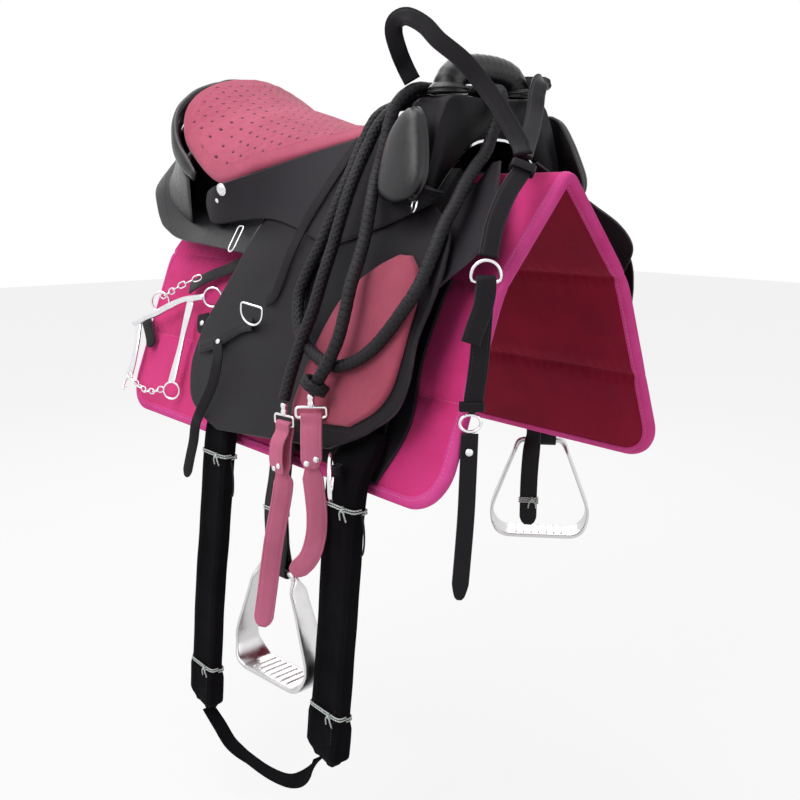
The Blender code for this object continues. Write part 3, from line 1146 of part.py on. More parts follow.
def make_bit():
    """Curb bit hung at the rear: mouthpiece, two shanks and rings in one piece, with its curb chains."""
    bar = even_smooth([gear(-0.405, 0.300, 0.018), gear(-0.368, 0.287, 0.020), gear(-0.330, 0.276, 0.021),
                       gear(-0.295, 0.262, 0.021), gear(-0.250, 0.247, 0.021), gear(-0.190, 0.238, 0.022)], 11)
    bit = tube("bit", bar, BIT_BAR_RADIUS, STEEL)
    toward = unit(0.7 * np.array(FACE) + 0.3 * np.array([0.0, -0.94, 0.34]))
    up = unit(np.array([0.0, 0.0, 1.0]) - toward[2] * toward)
    along = np.cross(up, toward)
    front = [gear(-0.392, 0.300, 0.018), gear(-0.380, 0.330, 0.017), gear(-0.376, 0.360, 0.016), gear(-0.379, 0.388, 0.015)]
    back = [gear(-0.232, 0.248, 0.019), gear(-0.234, 0.292, 0.016), gear(-0.232, 0.327, 0.015), gear(-0.229, 0.376, 0.015)]
    parts = [bridle_strap("shank", points, 7, 0.012, (0.35, -0.92, 0.15), 0.0045, STEEL) for points in (front, back)]
    for seat, way, radius in ((bar[4], up, 0.0155), (bar[-1], along, 0.0145), (back[-1], -up, 0.0130)):
        parts.append(tube("ring", ring_path(seat + way * radius, radius, toward, 16), BIT_RING_WIRE, STEEL,
                          closed=True, sides=6))
    fuse(bit, parts)
    chain("curb_chain", [gear(-0.372, 0.384, 0.0215), gear(-0.341, 0.394, 0.0190), gear(-0.300, 0.401, 0.0180),
                         gear(-0.262, 0.396, 0.0190), gear(-0.243, 0.389, 0.0190)], 9, 0.0085, 0.0012)
    chain("hobble_chain", [gear(-0.312, 0.250, 0.0300), gear(-0.281, 0.240, 0.0320), gear(-0.250, 0.226, 0.0320),
                           gear(-0.222, 0.207, 0.0190)], 7, 0.0085, 0.0012)
    bridle_strap("bit_tab", [gear(-0.395, 0.288, 0.006), gear(-0.375, 0.302, 0.0065), gear(-0.358, 0.318, 0.006),
                             gear(-0.352, 0.332, 0.005)], 7, 0.022, (0.2, -0.93, 0.3), 0.003, point_length=0.010)
    bridle_strap("bit_hanger", [gear(-0.268, 0.226, 0.0080), gear(-0.238, 0.214, 0.0110), gear(-0.210, 0.203, 0.0110),
                                gear(-0.170, 0.190, 0.0080), gear(-0.150, 0.182, 0.0080), gear(-0.118, 0.174, 0.0080)],
                 13, 0.019, (0.15, -0.88, 0.45), 0.003)


def dome(name, centre, axis, radius, height, finish, count=14):
    """Round-headed stud standing on the point centre, looking along axis."""
    axis = unit(axis)
    first = unit(np.cross(axis, [0.0, 0.0, 1.0]))
    second = np.cross(axis, first)
    a = np.linspace(0, 2 * math.pi, count, endpoint=False)[:, None]
    rings = [np.asarray(centre) + axis * h * height + radius * r * (np.cos(a) * first + np.sin(a) * second)
             for r, h in ((0.97, 0.0), (1.0, 0.25), (0.85, 0.62), (0.50, 0.92), (0.18, 1.0))]
    return sections_solid(name, np.array(rings), finish)


def make_conchos():
    """Silver conchos at the rear ends of the seat skirts."""
    for side, tag in ((-1, "right"), (1, "left")):
        grid = seat_skirt_grid(side, 4, 17)
        normal = unit(np.cross(np.gradient(grid, axis=1), np.gradient(grid, axis=0)))
        normal[normal[:, :, 1] * side < 0] *= -1
        k = np.unravel_index(np.argmin(np.linalg.norm(grid - np.array([-0.128, side * 0.1545, -0.022]), axis=2)),
                             grid.shape[:2])
        dome("concho_" + tag, grid[k] + normal[k] * (SKIRT_LEATHER + 0.0007), normal[k], CONCHO_RADIUS, 0.0036, STEEL)


def pivots():
    """Where each moving piece turns: at the bars, the rings and the snaps it hangs from."""
    points = {}
    down = np.array([0.0, 0.0, 1.0])
    for side, tag in ((-1, "right"), (1, "left")):
        points["stirrup_leather_" + tag] = side_point(LEATHER_X[side], STIRRUP_BAR_DROP, STIRRUP_BAR_D, side)
        points["stirrup_" + tag] = (LEATHER_X[side], side * STIRRUP_Y[side], STIRRUP_TOP_Z[side])
    points["leather_tail_left"] = points["stirrup_leather_left"]
    dee = np.array(CHEEK_DEE) - 0.0065 * down
    points["cheek_strap_lower"] = points["cheek_ring"] = dee
    points["bridle_end_strap"] = dee - 0.0145 * np.array(ALONG) - 0.1610 * down
    points["rein_strap_rear"] = np.array(REIN_LINE[-1]) - REIN_EYE_DROP * down
    points["rein_strap_front"] = np.array(REIN_LINE[0]) - REIN_EYE_DROP * down
    for name in ("bit", "curb_chain", "hobble_chain", "bit_tab"):
        points[name] = gear(*BIT_HANG)
    for name in ("girth_front", "girth_rear", "girth_connector", "girth_chape", "girth_ring"):
        points[name] = GIRTH_HANG
    return points


def place(thing, pivot):
    """Put a piece's origin on its pivot, and the whole saddle's origin under the pad's ridge."""
    pivot = [float(v) for v in pivot]
    thing.data.transform(Matrix.Translation([-v for v in pivot]))
    thing.location = (pivot[0], pivot[1], pivot[2] + DATUM_HEIGHT)


def main():
    for thing in list(bpy.data.objects):
        bpy.data.objects.remove(thing)
    make_pad()
    for side, tag in ((-1, "right"), (1, "left")):
        make_panel(side, "panel_" + tag)
        make_skirts_and_flaps(side, tag)
        make_knee_pad(side, tag)
        make_stirrup_bar(side, tag)
        make_stirrup_leather(side, tag)
        make_stirrup(side, tag)
    make_tree()
    make_seat()
    make_gullet_plate()
    make_pommel()
    make_handle()
    make_cantle_roll()
    make_cantle_back()
    make_rear_skirt()
    make_leather_tail()
    make_girth("girth_front", False)
    make_girth("girth_rear", True)
    make_girth_gear()
    make_bridle()
    make_reins()
    make_lead()
    make_bit()
    make_conchos()
    for thing in bpy.data.objects:
        place(thing, pivots().get(thing.name, (0.0, 0.0, -DATUM_HEIGHT)))


main()
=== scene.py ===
import math
import bmesh
import bpy
import numpy as np
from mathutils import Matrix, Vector


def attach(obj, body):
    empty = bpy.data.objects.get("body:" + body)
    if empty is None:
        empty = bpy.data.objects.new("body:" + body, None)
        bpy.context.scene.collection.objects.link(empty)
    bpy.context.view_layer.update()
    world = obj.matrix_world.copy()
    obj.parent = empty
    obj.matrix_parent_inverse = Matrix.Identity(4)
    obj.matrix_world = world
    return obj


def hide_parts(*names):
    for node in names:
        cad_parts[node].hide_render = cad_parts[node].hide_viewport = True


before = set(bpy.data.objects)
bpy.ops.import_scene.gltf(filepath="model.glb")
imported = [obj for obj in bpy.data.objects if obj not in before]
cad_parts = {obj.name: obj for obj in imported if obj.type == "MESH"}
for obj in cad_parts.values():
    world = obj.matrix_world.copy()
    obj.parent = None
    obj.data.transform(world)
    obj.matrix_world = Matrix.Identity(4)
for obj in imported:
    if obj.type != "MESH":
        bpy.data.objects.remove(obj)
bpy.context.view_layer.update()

backHeight = 0.018  # the horse's back stands this far above the pad's underside
touch = 0.0005  # left free between pieces that lie on each other

# Curves and surfaces


# Vector over its own length
def unit(vector):
    vector = np.asarray(vector, float)
    return vector / np.maximum(np.linalg.norm(vector, axis=-1, keepdims=True), 1e-12)


# 3u2 - 2u3, from 0 to 1 with level ends
def ease(u):
    u = np.clip(u, 0.0, 1.0)
    return u * u * (3.0 - 2.0 * u)


# 1 - (2u - 1)2, 1 in the middle and 0 at both ends
def hump(u):
    return 1.0 - (2.0 * u - 1.0) ** 2


# Angles of one full turn in equal steps, the last step left off
def aroundBy(count):
    return np.linspace(0, 2 * math.pi, count, endpoint=False)


# Sign(value) |value| to a power: below 1 it makes a circle's sine and cosine those of a rounded rectangle
def squared(value, power):
    return np.sign(value) * np.abs(value) ** power


# A unit way across the axis: axis x up, or axis x forward where the axis itself is nearly upright
def acrossFrom(axis):
    return unit(np.cross(axis, [0.0, 0.0, 1.0] if abs(axis[2]) < 0.9 else [1.0, 0.0, 0.0]))


# Share of a strap's width, least + (1 - least) sqrt(way from its end / tip), at most 1: a rounded point
def pointed(path, tip, least):
    toe = np.linalg.norm(path - path[-1], axis=1)
    return np.clip(least + (1 - least) * np.sqrt(np.clip(toe / tip, 0, 1)), 0, 1)


# Smooth curve through the points, at shares u of the way along them
def curveAt(points, u):
    points = np.asarray(points, float)
    padded = np.vstack([2 * points[0] - points[1], points, 2 * points[-1] - points[-2]])
    s = np.asarray(u, float).ravel() * (len(points) - 1.0)
    k = np.clip(s.astype(int), 0, len(points) - 2)
    f = (s - k)[:, None]
    a, b, c, e = padded[k], padded[k + 1], padded[k + 2], padded[k + 3]
    return 0.5 * (2 * b + (c - a) * f + (2 * a - 5 * b + 4 * c - e) * f ** 2 + (3 * b - a - 3 * c + e)
        * f ** 3)


# Length walked along a path at each of its points
def runOf(path):
    return np.concatenate([[0.0], np.cumsum(np.linalg.norm(np.diff(path, axis=0), axis=1))])


# The same curve at equal distances
def evenCurve(points, count):
    fine = curveAt(points, np.linspace(0, 1, 40 * len(points)))
    run = runOf(fine)
    want = np.linspace(0.0, run[-1], count)
    return np.stack([np.interp(want, run, fine[:, k]) for k in range(fine.shape[1])], axis=-1)


# Unit step from the point before to the point after
def slopes(path, closed=False):
    if closed:
        return unit(np.roll(path, -1, axis=0) - np.roll(path, 1, axis=0))
    return unit(np.gradient(path, axis=0))


# The back in section: a round ridge, a slope in degrees, a round shoulder and a steeper slope
horse = {"ridge": 0.020, "upper": 50.0, "upperLength": 0.130, "shoulder": 0.140, "lower": 70.0}


# Across and height at t down the side and d proud of it: a round ridge, a slope, a round shoulder, a
# steeper slope
def sideSection(t, d):
    upper, lower = math.radians(horse["upper"]), math.radians(horse["lower"])
    ridge, shoulder, length = horse["ridge"], horse["shoulder"], horse["upperLength"]
    ridgeEnd = ridge * upper
    slopeEnd = ridgeEnd + length
    shoulderEnd = slopeEnd + shoulder * (lower - upper)
    t, d = np.asarray(t, float), np.asarray(d, float)
    onRidge = np.clip(t, None, ridgeEnd) / ridge
    onSlope = np.clip(t - ridgeEnd, 0.0, length)
    turn = np.clip(t - slopeEnd, 0.0, shoulderEnd - slopeEnd) / shoulder
    below = np.clip(t - shoulderEnd, 0.0, None)
    y = ridge * np.sin(onRidge) + onSlope * math.cos(upper)
    z = -ridge * (1.0 - np.cos(onRidge)) - onSlope * math.sin(upper)
    y = y + shoulder * (np.sin(upper + turn) - math.sin(upper)) + below * math.cos(lower)
    z = z - shoulder * (math.cos(upper) - np.cos(upper + turn)) - below * math.sin(lower)
    angle = onRidge + turn
    return y + d * np.sin(angle), z + d * np.cos(angle)


# Point at x, at t down the given side, d proud of it
def onSide(x, t, d, side):
    y, z = sideSection(np.abs(t), d)
    x, y, z = np.broadcast_arrays(np.asarray(x, float), side * np.sign(t) * y, z)
    return np.stack([x, y, z], axis=-1)


# Surface normals of a grid, looking toward the given way
def outwardOf(grid, toward):
    normal = unit(np.cross(np.gradient(grid, axis=1), np.gradient(grid, axis=0)))
    return normal * np.where((normal * np.asarray(toward)).sum(-1, keepdims=True) < 0, -1.0, 1.0)


# Distance from each grid point to the nearest edge of its sheet, along its row or column
def borderDistance(grid):
    down = np.concatenate([np.zeros((1, grid.shape[1])),
        np.cumsum(np.linalg.norm(np.diff(grid, axis=0), axis=2), 0)])
    over = np.concatenate([np.zeros((grid.shape[0], 1)),
        np.cumsum(np.linalg.norm(np.diff(grid, axis=1), axis=2), 1)], 1)
    return np.minimum(np.minimum(down, down[-1:] - down), np.minimum(over, over[:, -1:] - over)), down, over


# Shares along a side, closer together at both ends
def edgeSteps(count, length, edge=0.003):
    near = np.array([0.0, 0.12, 0.4, 0.8]) * edge / length
    return np.concatenate([near, np.linspace(1.5 * edge / length, 1 - 1.5 * edge / length, count),
        1 - near[::-1]])


# A few crossed sines with fixed random ways: a smooth, repeatable unevenness from -1 to 1
def noiseOver(grid, scale, seed):
    rng = np.random.default_rng(seed)
    ways = rng.normal(size=(7, 3))
    total = np.zeros(grid.shape[:-1])
    for way in ways:
        total = total + np.sin((grid @ unit(way)) * scale * (0.6 + 0.9 * rng.random())
            + 6.28 * rng.random())
    return total / 4.0


# Meshes


# Four corners of every cell of a grid whose points are numbered row by row
def gridQuads(rows, columns, wrapRows=False, wrapColumns=False):
    k = np.arange(rows * columns).reshape(rows, columns)
    k = np.vstack([k, k[:1]]) if wrapRows else k
    k = np.hstack([k, k[:, :1]]) if wrapColumns else k
    return np.stack([k[:-1, :-1], k[1:, :-1], k[1:, 1:], k[:-1, 1:]], axis=-1).reshape(-1, 4)


# The value at the four corners of every cell
def quadValues(a):
    return np.stack([a[:-1, :-1], a[1:, :-1], a[1:, 1:], a[:-1, 1:]], axis=2).reshape(-1, a.shape[-1])


# A closed mesh from points and faces, its faces outwards, riding on its body
def addPiece(name, points, faces, material, body, slot, nodes=(), uv=None, rim=None, second=None):
    mesh = bpy.data.meshes.new(name)
    mesh.from_pydata((np.asarray(points, float).reshape(-1, 3) + (0, 0, backHeight)).tolist(), [], faces)
    if uv is not None:
        full = np.zeros((len(mesh.loops), 2))
        full[:len(uv)] = uv
        mesh.uv_layers.new(name="UVMap").data.foreach_set("uv", full.ravel())
    if rim is not None:
        mesh.attributes.new("rim", "FLOAT", "POINT").data.foreach_set("value",
            np.asarray(rim, np.float32).ravel())
    mesh.materials.append(material)
    if second is not None:  # (material, number of the first face, number after the last)
        mesh.materials.append(second[0])
        index = np.zeros(len(mesh.polygons), np.int32)
        index[second[1]:second[2]] = 1
        mesh.polygons.foreach_set("material_index", index)
    work = bmesh.new()
    work.from_mesh(mesh)
    bmesh.ops.recalc_face_normals(work, faces=work.faces)
    work.to_mesh(mesh)
    work.free()
    mesh.shade_smooth()
    piece = bpy.data.objects.new(name, mesh)
    bpy.context.scene.collection.objects.link(piece)
    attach(piece, body)
    if nodes:
        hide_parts(*([nodes] if isinstance(nodes, str) else nodes))
    return piece


# Faces of a sheet: its top, the same turned over for its underside, and the wall round its rim
def sheetFaces(rows, columns):
    count = rows * columns
    top = gridQuads(rows, columns)
    k = np.arange(count).reshape(rows, columns)
    loop = np.concatenate([k[0, :-1], k[:-1, -1], k[-1, :0:-1], k[:0:-1, 0]])
    wall = np.stack([loop, np.roll(loop, -1), np.roll(loop, -1) + count, loop + count], axis=1)
    return np.vstack([top, top[:, ::-1] + count, wall]), len(top)


# A closed shell between two grids, joined round their rims
def shellPiece(name, outer, inner, material, body, slot, nodes=(), innerMaterial=None):
    near, down, over = borderDistance(outer)
    flat = quadValues(np.stack([over - over.mean(), down - down.mean()], axis=-1))
    faces, topCount = sheetFaces(*outer.shape[:2])
    uv = np.vstack([flat, flat.reshape(-1, 4, 2)[:, ::-1].reshape(-1, 2)])
    rim = 1.0 - np.clip(near / 0.0035, 0, 1)
    second = None if innerMaterial is None else (innerMaterial, topCount, 2 * topCount)
    return addPiece(name, np.vstack([outer.reshape(-1, 3), inner.reshape(-1, 3)]), faces.tolist(),
        material, body, slot, nodes, uv, np.concatenate([rim.ravel(), rim.ravel()]), second)


# One thickness of leather grown outwards from its flesh side, with rounded edges
def leatherPiece(name, grid, thickness, toward, material, body, slot, nodes=(), shape=None):
    normal = outwardOf(grid, toward)
    near = borderDistance(grid)[0]
    roundness = 0.30 + 0.70 * np.sqrt(1.0 - (1.0 - np.clip(near / (thickness * 0.8), 0, 1)) ** 2)
    height = thickness * roundness
    if shape is not None:
        height = height + shape(grid, near)
    return shellPiece(name, grid + normal * height[..., None], grid, material, body, slot,
        nodes), grid + normal * height[..., None], normal


# A solid through rings of points, closed by its end rings or on itself
def sectionPiece(name, sections, material, body, slot, nodes=(), closed=False, rim=None):
    count, ring = sections.shape[:2]
    quads = gridQuads(count, ring, wrapRows=closed, wrapColumns=True)
    around = runOf(np.vstack([sections.mean(0), sections.mean(0)[:1]]))
    middles = sections.mean(1)
    along = runOf(np.vstack([middles, middles[:1]]) if closed else middles)
    uv = quadValues(np.stack(np.broadcast_arrays(around[None, :], along[:, None]), axis=-1))
    faces = quads.tolist()
    if not closed:
        faces += [list(range(ring)), list(range((count - 1) * ring, count * ring))[::-1]]
    if rim is not None:
        rim = np.broadcast_to(rim, (count, ring))
    return addPiece(name, sections, faces, material, body, slot, nodes, uv, rim)


# Rings of (across, proud) offsets set on each station of a path
def carry(path, across, ring, closed=False):
    way = slopes(path, closed)
    across = np.broadcast_to(np.asarray(across, float), path.shape)
    across = unit(across - (across * way).sum(1, keepdims=True) * way)
    proud = np.cross(way, across)
    ring = np.broadcast_to(ring, (len(path),) + np.shape(ring)[-2:])
    return path[:, None] + ring[:, :, :1] * across[:, None] + ring[:, :, 1:] * proud[:, None], across, proud


# Radius times cos a, sin a
def roundRing(radius, sides=16):
    a = aroundBy(sides)
    radius = np.asarray(radius, float)[..., None]
    return np.stack([radius * np.cos(a), radius * np.sin(a)], axis=-1)


# Rounded rectangle of half sizes wide and deep, as a superellipse
def blockRing(wide, deep, power, sides=24):
    a = aroundBy(sides) + math.pi / sides
    c, n = np.cos(a), np.sin(a)
    p = 2.0 / np.asarray(power, float)[..., None]
    return np.stack([np.asarray(wide, float)[..., None] * squared(c, p), np.asarray(deep, float)[..., None]
        * squared(n, p)], axis=-1)


# Ways across a path that turn as little as possible from one station to the next
def turnedAlong(path, closed=False):
    way = slopes(path, closed)
    side = acrossFrom(way[0])
    ways = []
    for step in way:
        side = unit(side - (side @ step) * step)
        ways.append(side)
    return np.array(ways)


# Round wire along a path
def wirePiece(name, path, radius, material, body, slot, nodes=(), closed=False, sides=12):
    return sectionPiece(name, carry(path, turnedAlong(path, closed), roundRing(radius, sides), closed)[0],
        material, body, slot, nodes, closed)


# Several pieces made one, under the first one's name
def joined(pieces):
    base = pieces[0]
    work = bmesh.new()
    for piece in pieces:
        work.from_mesh(piece.data)
    work.to_mesh(base.data)
    work.free()
    for piece in pieces[1:]:
        bpy.data.objects.remove(piece)
    return base


# Centre + radius (cos a first + squash sin a second), both across the axis
def ringPath(centre, radius, axis, count=40, squash=1.0):
    axis = unit(axis)
    first = acrossFrom(axis)
    a = aroundBy(count)[:, None]
    return np.asarray(centre) + radius * (np.cos(a) * first + squash * np.sin(a) * np.cross(axis, first))


# Straight bar with small corners, closed by a half circle below it
def deePath(top, down, across, width, length, corner):
    half = width / 2
    bow = np.linspace(0.0, math.pi, 19)
    outline = [(-half + corner, 0.0), (0.0, 0.0), (half - corner, 0.0),
        (half - corner * 0.3, corner * 0.3), (half, corner)]
    outline += [(half * math.cos(a), length - half + half * math.sin(a)) for a in bow]
    outline += [(-half, corner), (-half + corner * 0.3, corner * 0.3)]
    return np.array([np.asarray(top, float) + unit(across) * u + unit(down) * v for u, v in outline])


strapShape = {"u": (1.0, 0.975, 0.90, 0.83, 0.79, 0.75, 0.40, 0.0), "v": (0.30, 0.78, 1.0, 1.0, 0.80, 1.0,
    1.06, 1.08)}


# Half sections mirrored: flat leather with softened edges and a creased line beside each
def strapRing(width, thick, crease=True):
    u = np.array(strapShape["u"])
    v = np.array(strapShape["v"]) if crease else np.array((0.30, 0.78, 1.0, 1.0, 1.0, 1.0, 1.0, 1.0))
    u = np.concatenate([u, -u[-2::-1]])
    v = np.concatenate([v, v[-2::-1]])
    ring = np.stack([np.concatenate([u, -u]), np.concatenate([v, -np.clip(v, 0, 1)])], axis=-1)
    width = np.asarray(width, float)
    return np.stack([width[..., None] / 2 * ring[:, 0], np.broadcast_to(thick / 2 * ring[:, 1], width.shape
        + (len(ring),))], axis=-1)


# Leather strap along a path; its stitches are (in from the edge, pitch)
def strapPiece(name, path, across, width, thick, material, body, slot, nodes=(), closed=False,
        stitched=None, crease=True):
    width = np.broadcast_to(np.asarray(width, float), (len(path),))
    sections, across, proud = carry(path, across, strapRing(width, thick, crease), closed)
    u = strapRing(1.0, 1.0)[:, 0]
    # Strap edges get the rim mask, lightened for wear and as a painted edge highlight
    rim = np.clip((np.abs(u) * 2 - 0.93) / 0.05, 0, 1)[None, :]
    piece = sectionPiece(name, sections, material, body, slot, nodes, closed, rim)
    if stitched:
        inset, pitch = stitched
        keep = width > width.max() * 0.9
        lines = []
        for sign in (-1, 1):
            line = path + across * (sign * (width / 2 - inset))[:, None] + proud * (thick / 2 + 0.0002)
            lines.append((line[keep], proud[keep]))
        stitchPiece(name + "Stitches", lines, pitch, body, slot)
    return piece


stitchShape = {"length": 0.62, "radius": 0.00042, "ends": (-0.5, -0.38, 0.38, 0.5),
    "girth": (0.35, 1.0, 1.0, 0.35)}


# Rows of thread: a six-sided bead with tapered ends at every pitch along each line
def stitchPiece(name, lines, pitch, body, slot, material=None, radius=None):
    r = radius or stitchShape["radius"]
    a = aroundBy(6)
    ends, girth = np.array(stitchShape["ends"]), np.array(stitchShape["girth"])
    points = []
    for line, out in lines:
        run = runOf(line)
        s = (np.arange(max(int(run[-1] / pitch), 1)) + 0.5) * pitch
        at = lambda values: np.stack([np.interp(s, run, values[:, k]) for k in range(3)], axis=-1)
        centre, way, up = at(line), unit(at(slopes(line))), unit(at(np.broadcast_to(out, line.shape)))
        side = unit(np.cross(way, up))
        lengthwise = ends[None, :, None, None] * pitch * stitchShape["length"] * way[:, None, None, :]
        roundness = r * girth[None, :, None, None] * (np.cos(a)[None, None, :, None] * side[:, None, None,
            :] + 0.8 * np.sin(a)[None, None, :, None] * up[:, None, None, :])
        points.append((centre[:, None, None, :] + lengthwise + roundness).reshape(-1, 24, 3))
    points = np.concatenate(points)
    one = gridQuads(4, 6, wrapColumns=True)
    start = (np.arange(len(points)) * 24)[:, None, None]
    quads = (start + one[None]).reshape(-1, 4).tolist()
    caps = np.concatenate([start[:, 0] + np.arange(6), start[:, 0] + np.arange(18, 24)[::-1]]).tolist()
    return addPiece(name, points, quads + caps, material or finishes["thread"], body, slot)


# Round head: a low dome with a beaded skirt; flower gives it that many petals
def studPiece(name, centre, axis, radius, height, material, body, slot, nodes=(), flower=0):
    axis = unit(axis)
    first = acrossFrom(axis)
    second = np.cross(axis, first)
    a = aroundBy(48 if flower else 24)
    petal = 1.0 + (0.035 * np.cos(flower * a) if flower else 0.0)
    profile = ((0.98, 0.0), (1.0, 0.12), (0.97, 0.34), (0.86, 0.42), (0.80, 0.36), (0.74, 0.56),
        (0.55, 0.84), (0.30, 0.97), (0.06, 1.0))
    around = np.cos(a)[:, None] * first + np.sin(a)[:, None] * second
    rings = []
    for r, h in profile:
        bloom = 1.0 + (petal - 1) * min(1, 2 * r)
        rings.append(np.asarray(centre) + axis * h * height + radius * r * np.reshape(bloom, (-1, 1))
            * around)
    return sectionPiece(name, np.array(rings), material, body, slot, nodes)


# Finishes


# A shader node with its inputs set or linked
def node(tree, kind, inputs=None, **settings):
    made = tree.nodes.new(kind)
    for key, value in settings.items():
        setattr(made, key, value)
    for key, value in (inputs or {}).items():
        if isinstance(value, bpy.types.NodeSocket):
            tree.links.new(value, made.inputs[key])
        else:
            made.inputs[key].default_value = value
    return made


# One maths node of two values
def sums(tree, operation, a, b=0.0):
    return node(tree, "ShaderNodeMath", {0: a, 1: b}, operation=operation).outputs[0]


# (1 - share) a + share b
def blendOf(tree, share, a, b):
    return node(tree, "ShaderNodeMix", {0: share, 6: a, 7: b}, data_type="RGBA").outputs[2]


# An empty node group with number inputs and named outputs
def effect(name, ins, outs):
    tree = bpy.data.node_groups.new(name, "ShaderNodeTree")
    for label, value in ins:
        tree.interface.new_socket(label, in_out="INPUT",
            socket_type="NodeSocketFloat").default_value = value
    for label in outs:
        tree.interface.new_socket(label, in_out="OUTPUT", socket_type="NodeSocketFloat")
    return tree, tree.nodes.new("NodeGroupInput"), tree.nodes.new("NodeGroupOutput")


# Pebbled grain from cells, broken by noise, and slow mottling
def hideGrain():
    tree, enter, leave = effect("hideGrain", [("Scale", 900.0), ("Creases", 0.3)], ["Height", "Mottle"])
    place = tree.nodes.new("ShaderNodeTexCoord").outputs["Object"]
    cells = node(tree, "ShaderNodeTexVoronoi", {"Vector": place, "Scale": enter.outputs["Scale"]},
        feature="DISTANCE_TO_EDGE")
    slow = node(tree, "ShaderNodeTexNoise", {"Vector": place, "Scale": 14.0, "Detail": 5.0,
        "Roughness": 0.62})
    folds = node(tree, "ShaderNodeTexNoise", {"Vector": place, "Scale": 55.0, "Detail": 3.0,
        "Distortion": 1.4})
    ridge = sums(tree, "ABSOLUTE", sums(tree, "SUBTRACT", folds.outputs[0], 0.5))
    ridge = sums(tree, "MULTIPLY", sums(tree, "MINIMUM", sums(tree, "MULTIPLY", ridge, 9.0), 1.0),
        enter.outputs["Creases"])
    grain = sums(tree, "MINIMUM", sums(tree, "MULTIPLY", cells.outputs["Distance"], 3.0), 1.0)
    tree.links.new(sums(tree, "ADD", grain, ridge), leave.inputs["Height"])
    tree.links.new(slow.outputs[0], leave.inputs["Mottle"])
    return tree


# Worn edges that also carry a painted edge highlight: the rim attribute, broken up by noise
def edgeWearAndHighlight():
    tree, enter, leave = effect("edgeWearAndHighlight", [("Amount", 0.5)], ["Mask"])
    rim = node(tree, "ShaderNodeAttribute", attribute_name="rim").outputs["Fac"]
    noise = node(tree, "ShaderNodeTexNoise", {"Vector":
        tree.nodes.new("ShaderNodeTexCoord").outputs["Object"], "Scale": 60.0, "Detail": 4.0})
    broken = node(tree, "ShaderNodeMapRange", {"Value": noise.outputs[0], "From Min": 0.35,
        "From Max": 0.65, "To Min": 0.35})
    tree.links.new(sums(tree, "MULTIPLY", sums(tree, "MULTIPLY", rim, broken.outputs[0]),
        enter.outputs["Amount"]), leave.inputs["Mask"])
    return tree


# Plain weave on the piece's own UV map, in metres, with fluff over it
def clothWeave():
    tree, enter, leave = effect("clothWeave", [("Threads", 4000.0), ("Fluff", 0.5)], ["Height", "Shade"])
    split = node(tree, "ShaderNodeSeparateXYZ", {0: tree.nodes.new("ShaderNodeUVMap").outputs[0]})
    u = sums(tree, "SINE", sums(tree, "MULTIPLY", split.outputs[0], enter.outputs["Threads"]))
    v = sums(tree, "SINE", sums(tree, "MULTIPLY", split.outputs[1], enter.outputs["Threads"]))
    place = tree.nodes.new("ShaderNodeTexCoord").outputs["Object"]
    fluff = node(tree, "ShaderNodeTexNoise", {"Vector": place, "Scale": 420.0, "Detail": 4.0})
    slow = node(tree, "ShaderNodeTexNoise", {"Vector": place, "Scale": 11.0, "Detail": 6.0,
        "Roughness": 0.65})
    fuzz = sums(tree, "MULTIPLY", fluff.outputs[0], enter.outputs["Fluff"])
    tree.links.new(sums(tree, "ADD", sums(tree, "MULTIPLY", u, v), fuzz), leave.inputs["Height"])
    tree.links.new(slow.outputs[0], leave.inputs["Shade"])
    return tree


# Two sets of strands winding opposite ways on the UV map, the higher one shown
def braidRelief():
    tree, enter, leave = effect("braidRelief", [("Around", 800.0), ("Along", 700.0)], ["Height"])
    split = node(tree, "ShaderNodeSeparateXYZ", {0: tree.nodes.new("ShaderNodeUVMap").outputs[0]})
    a = sums(tree, "MULTIPLY", split.outputs[0], enter.outputs["Around"])
    b = sums(tree, "MULTIPLY", split.outputs[1], enter.outputs["Along"])
    one = sums(tree, "SINE", sums(tree, "ADD", a, b))
    two = sums(tree, "SINE", sums(tree, "SUBTRACT", a, b))
    tree.links.new(sums(tree, "MAXIMUM", one, two), leave.inputs["Height"])
    return tree


# Fine scratches and slow clouding for metal
def drawnMetal():
    tree, enter, leave = effect("drawnMetal", [("Scale", 60.0), ("Stretch", 12.0)], ["Height", "Cloud"])
    place = tree.nodes.new("ShaderNodeTexCoord").outputs["Object"]
    lengthwise = node(tree, "ShaderNodeCombineXYZ", {0: enter.outputs["Scale"], 1: enter.outputs["Scale"],
        2: enter.outputs["Stretch"]})
    stretched = node(tree, "ShaderNodeVectorMath", {0: place, 1: lengthwise.outputs[0]},
        operation="MULTIPLY")
    lines = node(tree, "ShaderNodeTexNoise", {"Vector": stretched.outputs[0], "Scale": 12.0, "Detail": 4.0})
    cloud = node(tree, "ShaderNodeTexNoise", {"Vector": place, "Scale": 45.0, "Detail": 4.0})
    tree.links.new(lines.outputs[0], leave.inputs["Height"])
    tree.links.new(cloud.outputs[0], leave.inputs["Cloud"])
    return tree


effects = {"grain": hideGrain(), "wearAndHighlight": edgeWearAndHighlight(), "weave": clothWeave(), "braid": braidRelief(),
    "metal": drawnMetal()}


# A material whose Principled shader holds the constants
def newFinish(name, constants):
    material = bpy.data.materials.new(name)
    material.use_nodes = True
    shader = material.node_tree.nodes["Principled BSDF"]
    for key, value in constants.items():
        shader.inputs[key].default_value = value
    return material, material.node_tree, shader


# A shared effect placed in a material with its numbers
def placed(tree, key, **values):
    group = tree.nodes.new("ShaderNodeGroup")
    group.node_tree = effects[key]
    for label, value in values.items():
        group.inputs[label].default_value = value
    return group


# Colour times share, not over 1
def tone(colour, share):
    return tuple(min(c * share, 1.0) for c in colour[:3]) + (1.0,)


# Bump of a height into the shader's normal
def bumped(tree, shader, height, distance, strength=1.0):
    tree.links.new(node(tree, "ShaderNodeBump", {"Height": height, "Distance": distance,
        "Strength": strength}).outputs[0], shader.inputs["Normal"])
